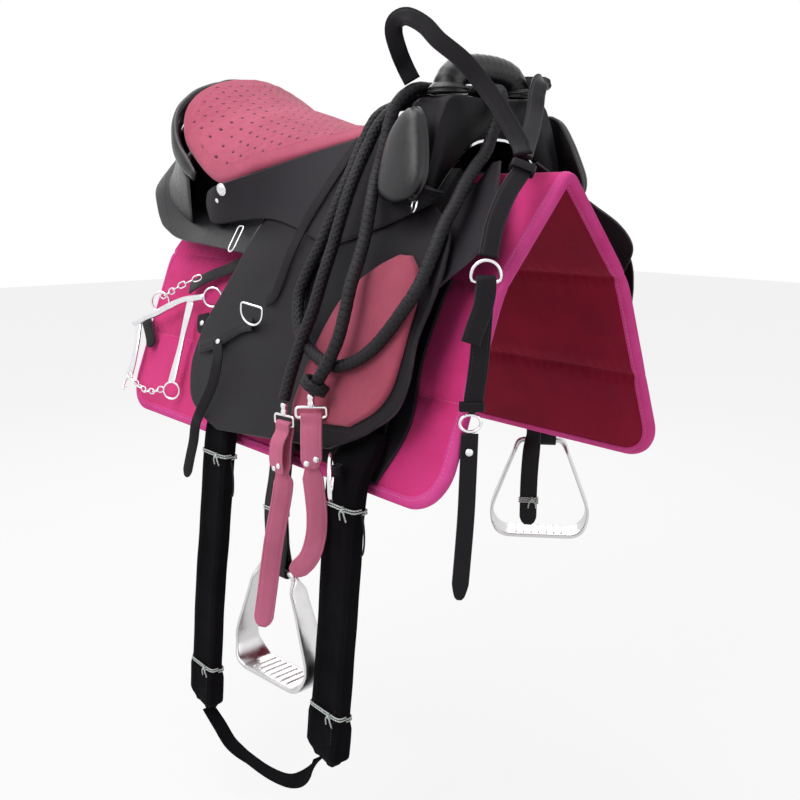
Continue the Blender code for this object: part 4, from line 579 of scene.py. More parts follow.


# Mottled colour, rims lightened by wear and a painted edge highlight, over pebbled grain; roughness rough -
# 0.07 to rough + 0.09
def leatherFinish(name, colour, wornAndLitEdge, rough, grainScale=900.0, depth=0.00012, creases=0.3, wearAndHighlight=0.6,
        constants=()):
    material, tree, shader = newFinish(name, dict({"Specular IOR Level": 0.14}, **dict(constants)))
    grain = placed(tree, "grain", Scale=grainScale, Creases=creases)
    rubAndHighlight = placed(tree, "wearAndHighlight", Amount=wearAndHighlight)
    base = blendOf(tree, grain.outputs["Mottle"], tone(colour, 0.62), tone(colour, 1.45))
    # Rims take the worn colour: real wear plus a painted edge highlight
    tree.links.new(blendOf(tree, rubAndHighlight.outputs["Mask"], base, tone(wornAndLitEdge, 1.0)), shader.inputs["Base Color"])
    spread = node(tree, "ShaderNodeMapRange", {"Value": grain.outputs["Mottle"], "From Min": 0.3,
        "From Max": 0.7, "To Min": rough - 0.07, "To Max": rough + 0.09})
    tree.links.new(spread.outputs[0], shader.inputs["Roughness"])
    bumped(tree, shader, grain.outputs["Height"], depth)
    return material


# Colour from deep to full by the slow Shade noise and by weave height, the height darkening the weave's
# dips as painted shade
def clothFinish(name, colour, deep, rough, threads, depth, fluff=0.5, constants=()):
    material, tree, shader = newFinish(name, dict({"Roughness": rough, "Specular IOR Level": 0.2},
        **dict(constants)))
    weave = placed(tree, "weave", Threads=threads, Fluff=fluff)
    spread = node(tree, "ShaderNodeMapRange", {"Value": weave.outputs["Shade"], "From Min": 0.32,
        "From Max": 0.68})
    # Raised threads lighter, dips darker: painted shade in the weave
    low = sums(tree, "MULTIPLY", weave.outputs["Height"], 0.10)
    share = node(tree, "ShaderNodeMath", {0: spread.outputs[0], 1: low}, operation="ADD", use_clamp=True)
    tree.links.new(blendOf(tree, share.outputs[0], tone(deep, 1.0), tone(colour, 1.0)),
        shader.inputs["Base Color"])
    bumped(tree, shader, weave.outputs["Height"], depth, 0.8)
    return material


# Clouded metal, roughness 0.7 to 1.5 times rough
def metalFinish(name, colour, rough, scale, stretch, depth):
    material, tree, shader = newFinish(name, {"Metallic": 1.0})
    drawn = placed(tree, "metal", Scale=scale, Stretch=stretch)
    tree.links.new(blendOf(tree, drawn.outputs["Cloud"], tone(colour, 0.82), tone(colour, 1.1)),
        shader.inputs["Base Color"])
    spread = node(tree, "ShaderNodeMapRange", {"Value": drawn.outputs["Cloud"], "From Min": 0.3,
        "From Max": 0.7, "To Min": rough * 0.7, "To Max": rough * 1.5})
    tree.links.new(spread.outputs[0], shader.inputs["Roughness"])
    bumped(tree, shader, drawn.outputs["Height"], depth, 0.6)
    return material


# Colour darkened between strands as painted shade, and full on them
def braidFinish(name, colour, rough, around, along, depth):
    material, tree, shader = newFinish(name, {"Roughness": rough, "Specular IOR Level": 0.3})
    braid = placed(tree, "braid", Around=around, Along=along)
    share = node(tree, "ShaderNodeMapRange", {"Value": braid.outputs["Height"], "From Min": -0.4,
        "From Max": 1.0})
    # Dark in the braid's grooves, light on its strands: painted shade
    tree.links.new(blendOf(tree, share.outputs[0], tone(colour, 0.35), tone(colour, 1.25)),
        shader.inputs["Base Color"])
    bumped(tree, shader, braid.outputs["Height"], depth)
    return material


# Suede with a dimple and a dark dot of painted shade at every crossing of a square lattice on the UV map
def perforatedSuede(name, colour, deep, dimpleShade, pitch):
    material, tree, shader = newFinish(name, {"Roughness": 0.92, "Specular IOR Level": 0.15,
        "Sheen Weight": 0.35, "Sheen Roughness": 0.5})
    weave = placed(tree, "weave", Threads=5200.0, Fluff=1.6)
    spread = node(tree, "ShaderNodeMapRange", {"Value": weave.outputs["Shade"], "From Min": 0.34,
        "From Max": 0.66})
    base = blendOf(tree, spread.outputs[0], tone(deep, 1.0), tone(colour, 1.0))
    field = node(tree, "ShaderNodeAttribute", attribute_name="rim").outputs["Fac"]
    lattice = node(tree, "ShaderNodeMapping", {0: tree.nodes.new("ShaderNodeUVMap").outputs[0]})
    lattice.inputs["Scale"].default_value = (1 / pitch, 1 / pitch, 0.0)
    spots = node(tree, "ShaderNodeTexVoronoi", {"Vector": lattice.outputs[0], "Scale": 1.0,
        "Randomness": 0.10})
    # A dark dot painted in each dimple's middle as its shade
    dotShade = node(tree, "ShaderNodeMapRange", {"Value": spots.outputs["Distance"], "From Min": 0.15,
        "From Max": 0.10})
    dotShade = sums(tree, "MULTIPLY", dotShade.outputs[0], sums(tree, "SUBTRACT", 1.0, field))
    pit = node(tree, "ShaderNodeMapRange", {"Value": spots.outputs["Distance"], "From Min": 0.04,
        "From Max": 0.24})
    pit = sums(tree, "MAXIMUM", pit.outputs[0], field)
    tree.links.new(blendOf(tree, dotShade, base, tone(dimpleShade, 1.0)), shader.inputs["Base Color"])
    bumped(tree, shader, sums(tree, "ADD", sums(tree, "MULTIPLY", pit, 6.0), weave.outputs["Height"]),
        0.00022, 0.9)
    return material


# Colours as linear red, green and blue
pinks = {"pad": (0.92, 0.055, 0.30), "padDeep": (0.80, 0.035, 0.22), "lining": (0.40, 0.005, 0.042),
    "liningDeep": (0.27, 0.003, 0.030), "binding": (0.95, 0.10, 0.42), "bindingDeep": (0.80, 0.055, 0.30),
    # The insert's pinks are the seat suede's darkened as painted shade
    "suede": (0.80, 0.150, 0.265), "suedeDeep": (0.66, 0.105, 0.195), "insert": (0.56, 0.095, 0.165),
    "insertShadedDeep": (0.40, 0.055, 0.105), "rein": (0.80, 0.19, 0.32)}
# The worn colour lightens leather rims: real wear plus a painted edge highlight
blacks = {"leather": (0.013, 0.011, 0.014), "matte": (0.024, 0.021, 0.026), "wornAndLitEdge": (0.13, 0.12, 0.135),
    "webbing": (0.009, 0.008, 0.010), "rope": (0.013, 0.011, 0.014), "thread": (0.050, 0.046, 0.052)}
# Maker, name, then the maker's own values in their order
finishTable = (
    (clothFinish, "padCloth", pinks["pad"], pinks["padDeep"], 0.85, 3600.0, 0.00010, 0.9,
        {"Sheen Weight": 0.15}),
    (clothFinish, "padLining", pinks["lining"], pinks["liningDeep"], 0.95, 3200.0, 0.00016, 1.6,
        {"Sheen Weight": 0.10}),
    (clothFinish, "bindingTape", pinks["binding"], pinks["bindingDeep"], 0.70, 3000.0, 0.00018, 0.4),
    # (0.10, 0.008, 0.022) is the painted shade dot in the seat's dimples
    (perforatedSuede, "seatSuede", pinks["suede"], pinks["suedeDeep"], (0.10, 0.008, 0.022), 0.019),
    # The insert suede is darker than the seat's by painted shade
    (clothFinish, "insertSuede", pinks["insert"], pinks["insertShadedDeep"], 0.92, 5200.0, 0.00014, 1.6,
        {"Sheen Weight": 0.25}),
    (leatherFinish, "blackLeather", blacks["leather"], blacks["wornAndLitEdge"], 0.36, 950.0, 0.00010, 0.30, 0.45),
    (leatherFinish, "glossLeather", blacks["leather"], blacks["wornAndLitEdge"], 0.24, 700.0, 0.00009, 0.45, 0.35,
        {"Specular IOR Level": 0.42}),
    (leatherFinish, "matteLeather", blacks["matte"], blacks["wornAndLitEdge"], 0.52, 1100.0, 0.00010, 0.25, 0.8),
    (leatherFinish, "underLeather", blacks["leather"], blacks["wornAndLitEdge"], 0.58, 800.0, 0.00014, 0.6, 0.3),
    (leatherFinish, "pinkLeather", pinks["rein"], (0.95, 0.45, 0.55), 0.46, 900.0, 0.00008, 0.2, 0.4),
    (clothFinish, "serge", (0.030, 0.028, 0.030), (0.016, 0.015, 0.017), 0.95, 2600.0, 0.00030, 1.5),
    (clothFinish, "foam", (0.62, 0.55, 0.36), (0.50, 0.43, 0.26), 0.95, 1500.0, 0.0004, 3.0),
    (clothFinish, "webbing", blacks["webbing"], tone(blacks["webbing"], 0.5), 0.82, 2400.0, 0.00030, 0.3,
        {"Specular IOR Level": 0.03}),
    (clothFinish, "thread", blacks["thread"], tone(blacks["thread"], 0.6), 0.55, 9000.0, 0.00003, 0.3),
    (clothFinish, "pinkThread", (0.98, 0.30, 0.62), (0.85, 0.14, 0.42), 0.55, 9000.0, 0.00003, 0.3),
    (braidFinish, "whiteString", (0.72, 0.78, 0.75), 0.7, 2500.0, 1600.0, 0.00010),
    (braidFinish, "blackCord", blacks["rope"], 0.7, 2500.0, 1600.0, 0.00010),
    (braidFinish, "blackRope", blacks["rope"], 0.62, 1067.0, 760.0, 0.00035),
    (metalFinish, "chrome", (0.86, 0.86, 0.88), 0.10, 40.0, 40.0, 0.00001),
    (metalFinish, "aluminium", (0.70, 0.69, 0.70), 0.30, 20.0, 220.0, 0.00004),
    (leatherFinish, "moulding", (0.030, 0.030, 0.033), (0.1, 0.1, 0.1), 0.48, 500.0, 0.00008, 0.1, 0.3),
)
finishes = {name: maker(name, *values) for maker, name, *values in finishTable}
# The colour slot that each finish fills
slots = {"chrome": "bright_steel", "blackLeather": "black_leather", "glossLeather": "black_leather",
    "matteLeather": "matte_leather", "underLeather": "matte_leather", "pinkLeather": "pink_leather",
    "serge": "panel_serge", "foam": "seat_foam", "webbing": "black_webbing",
    "whiteString": "black_webbing", "blackCord": "black_webbing", "blackRope": "black_rope",
    "aluminium": "stirrup_aluminium", "padCloth": "pad_fabric", "bindingTape": "pad_fabric",
    "seatSuede": "pink_suede", "insertSuede": "pink_suede"}


# A piece's material, body and slot, the slot being its finish's own unless another is given
def look(finish, body="saddle", slot=None):
    return finishes[finish], body, slot or slots[finish]


for name, finish in (("tree", "moulding"), ("gullet_plate", "chrome"), ("stirrup_bar_right", "chrome"),
        ("stirrup_bar_left", "chrome")):
    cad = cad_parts[name]
    cad.data.materials.clear()
    cad.data.materials.append(finishes[finish])
print("finishes are made")

# Camera and cords

# The photo's camera: metres, degrees and millimetres
view = {"target": (0.087, 0.0, -0.298), "azimuth": 51.0, "height": 11.7, "distance": 1.4, "lens": 44.1}


# Target + distance times the way back, by azimuth and height
def makeCamera():
    azimuth, height = math.radians(view["azimuth"]), math.radians(view["height"])
    back = Vector((math.sin(azimuth) * math.cos(height), -math.cos(azimuth) * math.cos(height),
        math.sin(height)))
    camera = bpy.data.objects.new("camera", bpy.data.cameras.new("camera"))
    bpy.context.scene.collection.objects.link(camera)
    camera.location = Vector(view["target"]) + view["distance"] * back
    camera.rotation_euler = back.to_track_quat("Z", "Y").to_euler()
    camera.data.lens, camera.data.sensor_width = view["lens"], 36.0
    camera.data.clip_end = 60.0
    bpy.context.scene.camera = camera


makeCamera()

# The level way to the camera, the level way across its view, and the way that the bridle's straps face
face = np.array((0.777, -0.629, 0.0))
along = np.array((0.629, 0.777, 0.0))
upFace = np.array((0.761, -0.616, 0.203))
rein = {"diameter": 0.015, "strap": (0.025, 0.003), "eyeDrop": 0.031, "knot": 0.0043,
    "line": ((0.2197, -0.2407, -0.2529), (0.2278, -0.2360, -0.2392), (0.2382, -0.2287, -0.2174),
    (0.2470, -0.2200, -0.1893), (0.2482, -0.2111, -0.1602), (0.2460, -0.2010, -0.1311),
    (0.2407, -0.1846, -0.1007), (0.2351, -0.1715, -0.0751), (0.2270, -0.1582, -0.0445),
    (0.2110, -0.1390, -0.0150), (0.2045, -0.1265, 0.0060), (0.2060, -0.1190, 0.0285),
    (0.2045, -0.1115, 0.0535), (0.2060, -0.0990, 0.0790), (0.2090, -0.0760, 0.0950),
    (0.2110, -0.0500, 0.0965), (0.2140, -0.0250, 0.0963), (0.2230, -0.0060, 0.0953),
    (0.2400, 0.0000, 0.0943), (0.2620, -0.0010, 0.0943), (0.2845, -0.0060, 0.0890),
    (0.2915, -0.0120, 0.0690), (0.2920, -0.0240, 0.0450), (0.2935, -0.0370, 0.0205),
    (0.3010, -0.0600, 0.0030), (0.3160, -0.0910, -0.0170), (0.3290, -0.1180, -0.0410),
    (0.3361, -0.1397, -0.0621), (0.3430, -0.1611, -0.0913), (0.3425, -0.1757, -0.1187),
    (0.3392, -0.1868, -0.1374), (0.3292, -0.1944, -0.1554), (0.3132, -0.2011, -0.1772),
    (0.2941, -0.2074, -0.1978), (0.2689, -0.2124, -0.2140), (0.2396, -0.2153, -0.2234),
    (0.2109, -0.2150, -0.2224), (0.1797, -0.2122, -0.2134), (0.1463, -0.2043, -0.1998),
    (0.1281, -0.1967, -0.1785), (0.1193, -0.1900, -0.1633), (0.1153, -0.1846, -0.1489),
    (0.1220, -0.1755, -0.1214), (0.1318, -0.1643, -0.0918), (0.1400, -0.1508, -0.0563),
    (0.1417, -0.1342, -0.0223), (0.1396, -0.1153, 0.0096), (0.1380, -0.0975, 0.0400),
    (0.1430, -0.0820, 0.0660), (0.1500, -0.0600, 0.0790), (0.1570, -0.0350, 0.0845),
    (0.1665, -0.0140, 0.0895), (0.1790, -0.0070, 0.0912), (0.1890, -0.0180, 0.0920),
    (0.1915, -0.0420, 0.0912), (0.1870, -0.0680, 0.0860), (0.1795, -0.0900, 0.0700),
    (0.1720, -0.1065, 0.0485), (0.1705, -0.1170, 0.0300), (0.1720, -0.1290, 0.0120),
    (0.1782, -0.1512, -0.0226), (0.1800, -0.1665, -0.0566), (0.1800, -0.1783, -0.0880),
    (0.1805, -0.1932, -0.1231), (0.1752, -0.2057, -0.1648), (0.1652, -0.2187, -0.2071),
    (0.1600, -0.2299, -0.2432), (0.1586, -0.2391, -0.2733))}


# An oval wire eye under each rope end, with a swivel stem into the rope
def makeReinSnaps():
    made = []
    for tag, end, degrees in (("rear", rein["line"][-1], 45.0), ("front", rein["line"][0], 0.0)):
        end, a = np.array(end), math.radians(degrees)
        across = along * math.cos(a) + face * math.sin(a)
        eye = end + (0.0, 0.0, 0.0060 - rein["eyeDrop"])
        turn = aroundBy(48)
        r = 0.0036
        c, n = np.cos(turn), np.sin(turn)
        hoop = eye + (np.sign(c) * (0.0178 - r) + r * c)[:, None] * across + (np.sign(n) * (0.0060 - r)
            + r * n)[:, None] * np.array((0, 0, 1.0))
        ring = wirePiece("reinSnap" + tag.title(), hoop, 0.0018, *look("chrome"), "rein_snap_" + tag, True)
        stem = np.array([end + (0, 0, -0.0035), end + (0, 0, -0.008), end + (0, 0, -0.0120),
            end + (0, 0, -0.0150), end + (0, 0, -0.0183)])
        radius = np.array([0.0040, 0.0047, 0.0036, 0.0046, 0.0035])
        made.append(joined([ring, wirePiece("stem" + tag, evenCurve(stem, 17),
            np.interp(np.linspace(0, 1, 17), np.linspace(0, 1, 5), radius), *look("chrome"), sides=16)]))
    return made


# One braided rein: over the skirt, under the handle, down in a bight and back, its two ends in snaps
def makeRein():
    path = evenCurve(rein["line"], 900)
    stations = np.arange(len(path))
    radius = rein["diameter"] / 2 * (1.0 + 0.018 * np.sin(stations * 0.9))
    rope = sectionPiece("reinRope", carry(path, turnedAlong(path), roundRing(radius, 20))[0],
        *look("blackRope"), "rein_rope")
    way = unit(np.array(rein["line"][1]) - np.array(rein["line"][0]))
    a = np.linspace(0.0, 4 * math.pi, 97)[:, None]
    first = unit(np.cross(way, face))
    coil = np.array(rein["line"][0]) + way * (0.004 + 0.0022 * a / math.pi) + 0.0130 * (np.cos(a) * first
        + np.sin(a) * np.cross(way, first))
    knot = wirePiece("reinKnot", coil, rein["knot"], *look("blackRope"), "rein_knot", sides=16)
    snaps = makeReinSnaps()
    float(runOf(path)[-1])


makeRein()
print("the rein is made")

# Pad

pad = {"length": 0.788, "drop": 0.430, "under": -0.018, "top": -0.004, "edge": 0.008, "thick": 0.014,
    "seamDepth": 0.0045, "corner": 0.055, "seams": (0.165, 0.305), "hem": 0.018, "pucker": 0.0008,
    "seamReach": 0.022, "puckerFrom": 0.004, "puckerTo": 0.013, "wave": 0.0007, "binding": 0.0112}


# How much each face is drawn in: on the seams, puckered beside them, and thinned to the hem
def padPinch(x, t, fromEdge):
    pinch = np.clip(1.0 - np.maximum(fromEdge, 0) / pad["hem"], 0, 1) ** 2 * (pad["thick"]
        - pad["edge"]) / 2
    for seam in pad["seams"]:
        away = np.abs(np.abs(t) - seam)
        pinch = np.maximum(pinch, np.clip(1.0 - away / pad["seamReach"], 0, 1) ** 2 * pad["seamDepth"])
        ripple = np.sin(x * 340 + 2.1 * np.sin(x * 57 + t * 3) + 7 * np.sign(t))
        pinch = pinch + pad["pucker"] * ripple * np.exp(-(away / pad["puckerTo"]) ** 2) * (1
            - np.exp(-(away / pad["puckerFrom"]) ** 2))
    return pinch


# The quilted pad: both faces of the back's section drawn together on two seams a side and at the hem
def makePad():
    marks = [0.0]
    for seam in pad["seams"]:
        marks += list(seam + np.array([-0.022, -0.016, -0.011, -0.007, -0.004, -0.0015, 0.0015, 0.004,
            0.007, 0.011, 0.016, 0.022]))
    half = np.unique(np.concatenate([marks, np.linspace(0, 0.04, 11), np.linspace(0.04, pad["drop"] - 0.02,
        46), pad["drop"] - np.array([0.018, 0.014, 0.010, 0.006, 0.003, 0.001, 0.0])]).round(5))
    t = np.concatenate([-half[:0:-1], half])[:, None]
    corner = np.clip(np.abs(t) - (pad["drop"] - pad["corner"]), 0.0, pad["corner"])
    inset = pad["corner"] - np.sqrt(pad["corner"] ** 2 - corner ** 2)
    reach = pad["length"] / 2 - inset
    share = np.concatenate([-1 + np.array([0, 0.003, 0.008, 0.016, 0.028, 0.042]),
        np.linspace(-0.94, 0.94, 200), 1 - np.array([0.042, 0.028, 0.016, 0.008, 0.003, 0])])[None, :]
    x = reach * share
    t = np.broadcast_to(t, x.shape)
    fromEdge = np.minimum(reach - np.abs(x), pad["drop"] - np.abs(t))
    pinch = padPinch(x, t, fromEdge)
    wave = pad["wave"] * noiseOver(np.stack([x, t, 0 * x], -1), 60.0, 4) * np.clip(fromEdge / 0.03, 0, 1)
    outer = onSide(x, t, pad["top"] - pinch + np.minimum(wave, 0.0), -1)
    inner = onSide(x, t, pad["under"] + pinch + np.maximum(wave, 0.0), -1)
    piece = shellPiece("saddlePad", outer, inner, *look("padCloth"), "saddle_pad", finishes["padLining"])


# The pad's outline as (x, t), a rounded rectangle, with the way inward
def padBorder(count):
    a, b, r = pad["length"] / 2, pad["drop"], pad["corner"]
    turns = [np.linspace(k * math.pi / 2, (k + 1) * math.pi / 2, 24) for k in range(4)]
    centres = ((a - r, b - r), (-a + r, b - r), (-a + r, -b + r), (a - r, -b + r))
    line = np.vstack([np.array(c) + r * np.column_stack([np.cos(w), np.sin(w)]) for c, w in zip(centres,
        turns)])
    line = np.vstack([line, line[:1]])
    run = runOf(line)
    want = np.linspace(0, run[-1], count, endpoint=False)
    line = np.stack([np.interp(want, run, line[:, k]) for k in range(2)], axis=-1)
    way = slopes(line, True)
    return line, np.column_stack([-way[:, 1], way[:, 0]])


# Tape folded over the pad's edge: its section follows both faces and a round nose, and is stitched
# through
def makeBinding():
    line, inward = padBorder(700)
    middle = (pad["top"] + pad["under"]) / 2
    reach = pad["binding"]

    def at(e, out, sign):
        x, t = line[:, 0] + e * inward[:, 0], line[:, 1] + e * inward[:, 1]
        deep = pad["thick"] / 2 - padPinch(x, t, np.full(len(x), e)) + out
        return onSide(x, t, middle + sign * deep, -1)

    wobble = 1.0 + 0.05 * np.sin(np.arange(len(line)) * 0.31)
    ring = [at(reach, -0.0012, 1), at(reach + 0.0004, 0.0004, 1), at(reach - 0.001, 0.0012, 1),
        at(reach * 0.7, 0.0014, 1), at(reach * 0.62, 0.0009, 1), at(reach * 0.54, 0.0014, 1),
        at(0.003, 0.0015, 1), at(0.0005, 0.0011, 1), at(-0.0014, -0.0010, 1), at(-0.0022, -0.0040, 1),
        at(-0.0014, -0.0010, -1), at(0.0005, 0.0011, -1), at(0.003, 0.0015, -1),
        at(reach * 0.54, 0.0014, -1), at(reach * 0.62, 0.0009, -1), at(reach * 0.7, 0.0014, -1),
        at(reach - 0.001, 0.0012, -1), at(reach + 0.0004, 0.0004, -1), at(reach, -0.0012, -1)]
    sections = np.stack(ring, axis=1)
    core = sections.mean(1, keepdims=True)
    sections = core + (sections - core) * (1 + 0.10 * (wobble[:, None, None] - 1))
    sectionPiece("padBinding", sections, *look("bindingTape"), closed=True)
    lines = []
    for sign in (1, -1):
        row = at(reach * 0.62, 0.0013, sign)
        out = unit(row - at(reach * 0.62, -0.004, sign))
        lines.append((np.vstack([row, row[:1]]), np.vstack([out, out[:1]])))
    stitchPiece("bindingStitches", lines, 0.0052, "saddle", "pad_fabric", finishes["pinkThread"], 0.0006)
    seams = []
    for seam in pad["seams"]:
        for side in (-1, 1):
            x = np.linspace(-pad["length"] / 2 + 0.014, pad["length"] / 2 - 0.014, 160)
            for sign in (1, -1):
                t = np.full_like(x, seam * side)
                row = onSide(x, t, middle + sign * (pad["thick"] / 2 - pad["seamDepth"] + 0.0002), -1)
                out = unit(row - onSide(x, t, middle, -1))
                seams.append((row, out, sign))
    for tag, sign, thread in (("Outer", 1, "pinkThread"), ("Inner", -1, "liningThread")):
        stitchPiece("padSeams" + tag, [(r, o) for r, o, s in seams if s == sign], 0.0055, "saddle",
            "pad_fabric", finishes[thread], 0.0005)


finishes["liningThread"] = clothFinish("liningThread", (0.16, 0.006, 0.028), (0.10, 0.003, 0.015), 0.6,
    9000.0, 0.00003, 0.3)
makePad()
makeBinding()
print("the pad is made")

# Panels, seat and tree covers

panel = {"d": -0.0035, "thick": 0.0375, "top": 0.034, "bottom": 0.1450, "rear": -0.300, "front": 0.290,
    "crown": 2.2, "rim": 0.30, "tufts": 0.0006}


# Flocked panel: a grid on the back whose height is a crown that is full in the middle and thin at the
# border
def makePanel(side, tag):
    f = edgeSteps(34, 0.12, 0.004)
    g = edgeSteps(80, 0.59, 0.004)
    rear = curveAt([(panel["rear"], panel["top"] + 0.012), (panel["rear"] - 0.012, 0.085),
        (panel["rear"], panel["bottom"] - 0.012)], f)
    front = curveAt([(panel["front"], panel["top"]), (panel["front"] + 0.004, 0.085),
        (panel["front"] - 0.006, panel["bottom"])], f)
    x = rear[:, :1] * (1 - g) + front[:, :1] * g
    t = rear[:, 1:] * (1 - g) + front[:, 1:] * g
    crown = np.clip(panel["crown"] * np.sqrt(np.clip(hump(f)[:, None] * hump(g)[None, :], 0, 1)),
        panel["rim"], 1.0)
    tufts = panel["tufts"] * noiseOver(np.stack([x, t, 0 * x], -1), 90.0, 7)
    outer = onSide(x, t, panel["d"] + panel["thick"] * crown + np.minimum(tufts, 0) - 0.0002, side)
    inner = onSide(x, t, panel["d"] + 0 * crown, side)
    piece = shellPiece("panel" + tag.title(), outer, inner, *look("serge"), "panel_" + tag)


seat = {"dimple": (0.0014, 0.0042), "roll": (0.0035, 0.011), "swell": 0.0012, "uneven": 0.0006,
    "cover": 0.003, "foam": 0.014, "fullness": 0.55, "pommelRear": 0.1515, "plain": 0.024, "pitch": 0.019,
    "centre": ((-0.290, 0.157), (-0.268, 0.147), (-0.238, 0.133), (-0.203, 0.118), (-0.163, 0.104),
    (-0.120, 0.092), (-0.060, 0.076), (0.000, 0.066), (0.060, 0.065), (0.110, 0.070), (0.150, 0.078)),
    "rim": ((-0.300, 0.030, 0.152), (-0.304, 0.078, 0.138), (-0.296, 0.116, 0.110), (-0.274, 0.139, 0.075),
    (-0.236, 0.150, 0.035), (-0.145, 0.152, -0.012), (-0.075, 0.132, 0.003), (-0.005, 0.107, 0.020),
    (0.055, 0.087, 0.034), (0.110, 0.074, 0.045), (0.150, 0.070, 0.052))}


# The seat at a depth under its top face: u runs forward, v from rim to rim over the middle, falling as a
# rounded arch
def seatLayer(depth, u, v):
    centre, rim = curveAt(seat["centre"], u), curveAt(seat["rim"], u)
    w = np.abs(v)
    mid = np.stack([centre[:, 0], 0 * centre[:, 0], centre[:, 1]], axis=-1)[:, None, :]
    edge = np.repeat(rim[:, None, :], len(v), axis=1)
    edge[:, :, 1] *= -np.sign(v)[None, :]
    grid = mid * (1 - w[None, :, None]) + edge * w[None, :, None]
    fall = 1.0 - (1.0 - w ** 2) ** seat["fullness"]
    grid[:, :, 2] = mid[:, :, 2] * (1 - fall) + edge[:, :, 2] * fall
    normal = outwardOf(grid, (0.0, 0.0, 1.0))
    grid = grid - normal * np.asarray(depth)[..., None]
    grid[:, :, 0] = np.minimum(grid[:, :, 0], seat["pommelRear"] - 3 * touch)
    return grid


# Suede cover over foam: the cover rolls down at its border and is drawn in at every sewn dot
def makeSeat():
    u = edgeSteps(170, 0.46, 0.006)
    v = np.sin((edgeSteps(120, 0.34, 0.006) - 0.5) * math.pi)
    base = seatLayer(0.0, u, v)
    near, down, over = borderDistance(base)
    middle = np.argmin(np.abs(v))
    a = down[:, middle:middle + 1] + 0 * over
    b = over - over[:, middle:middle + 1]
    p = seat["pitch"]
    r2 = (a - (np.floor(a / p) + 0.5) * p) ** 2 + (b - (np.floor(b / p) + 0.5) * p) ** 2
    plain = 1.0 - ease((near - seat["plain"]) / 0.006)
    dimple = seat["dimple"][0] * np.exp(-r2 / seat["dimple"][1] ** 2) * (1 - plain)
    roll = seat["roll"][0] * np.clip(1.0 - near / seat["roll"][1], 0, 1) ** 2
    normal = outwardOf(base, (0.0, 0.0, 1.0))
    swell = seat["swell"] * (1 - plain) + seat["uneven"] * noiseOver(base, 45.0, 3) * np.clip(near / 0.02,
        0, 1)
    top = base + normal * (swell - dimple - roll)[..., None]
    low = seatLayer(seat["cover"] + 0.0005 + 0 * over, u, v) - normal * (roll + 0 * dimple)[..., None] * 0.5
    faces = sheetFaces(*base.shape[:2])[0]
    cover = addPiece("seatCover", np.vstack([top.reshape(-1, 3), low.reshape(-1, 3)]), faces.tolist(),
        *look("seatSuede"), "seat_cover", quadValues(np.stack([a, b], axis=-1)),
        np.concatenate([plain.ravel(), 1 + 0 * plain.ravel()]))
    u = np.linspace(1 / 13, 1.0, 60)
    v = np.sin(np.linspace(-0.5 + 1 / 12, 0.5 - 1 / 12, 50) * math.pi)
    top, low = seatLayer(seat["cover"] + 0.002, u, v), seatLayer(seat["cover"] + seat["foam"], u, v)
    shellPiece("seatFoam", top, low, *look("foam"), "seat_foam")


for side, tag in ((-1, "right"), (1, "left")):
    makePanel(side, tag)
makeSeat()
print("the seat is made")

# Pommel, handle, cantle

pommel = {"rear": 0.1515, "front": 0.276, "arch": ((0.1125, -0.034), (0.111, 0.000), (0.102, 0.034),
    (0.092, 0.062), (0.079, 0.0825), (0.056, 0.0855), (0.033, 0.0840), (0.0, 0.0830)), "plate": 0.003,
    "bar": 0.0345 - 0.001 + 0.0075 + 0.0045}


# Half an outline and its mirror image, as one line
def mirrored(profile):
    half = np.asarray(profile, float)
    right = half * (-1, 1)
    return np.vstack([right, half[::-1][1:]])


# Middle line of the gullet plate, from foot to foot over the spine
def gulletLine():
    d = 0.0345 + 0.0075 + 0.0045 + 2 * touch + pommel["plate"] / 2
    foot = [[float(w) for w in sideSection(t, d)] for t in (0.098, 0.080, 0.064)]
    return mirrored(foot + [[0.049, 0.0235], [0.024, 0.0335], [0.0, 0.0360]])


# Arch from foot to foot, carried back and blended into the seat's front edge
def makePommel():
    count = 61
    arch = evenCurve(mirrored(pommel["arch"]), count)
    under = evenCurve(gulletLine(), count)
    way = slopes(under)
    under = under + np.column_stack([-way[:, 1], way[:, 0]]) * (pommel["plate"] / 2 + 2 * touch)
    v = np.sin(np.linspace(-0.5, 0.5, count) * math.pi)
    endZ, rimY, rimZ = seat["centre"][-1][1], seat["rim"][-1][1], seat["rim"][-1][2]
    fall = 1.0 - (1.0 - v ** 2) ** seat["fullness"]
    rear = np.column_stack([v * rimY, endZ * (1 - fall) + rimZ * fall])
    rearUnder = np.column_stack([v * (rimY - 0.008), rear[:, 1] - 0.010])
    xs = np.concatenate([[pommel["rear"], 0.153], np.linspace(0.157, 0.268, 30),
        [0.2705, 0.273, 0.275, pommel["front"]]])
    b = ease((xs - pommel["rear"]) / (0.224 - pommel["rear"]))[:, None, None]
    top, low = rear * (1 - b) + arch * b, rearUnder * (1 - b) + under * b
    middle = (top + low) / 2
    tuck = (np.clip((xs - 0.268) / 0.008, 0, 1) ** 2)[:, None, None]
    top, low = middle + (top - middle) * (1 - 0.10 * tuck), middle + (low - middle) * (1 - 0.04 * tuck)
    ring = np.concatenate([top, low[:, ::-1]], axis=1)
    sections = np.concatenate([np.broadcast_to(xs[:, None, None], ring.shape[:2] + (1,)), ring], axis=2)
    sectionPiece("pommelCover", sections, *look("blackLeather"), "pommel")
    for x, tag in ((0.262, "Front"), (0.2165, "Rear")):
        k = int(np.argmin(np.abs(xs - x)))
        row = np.concatenate([np.full((count, 1), x), top[k]], axis=1)
        out = np.concatenate([np.zeros((count, 1)), unit(top[k] - low[k])], axis=1)
        stitchPiece("pommelStitches" + tag, [(row[5:-5], out[5:-5])], 0.0055, "saddle", "black_leather")


handle = {"radius": 0.0175, "x": 0.246, "foot": 0.056, "base": 0.0875, "rise": 0.0325, "collar": 0.0245}


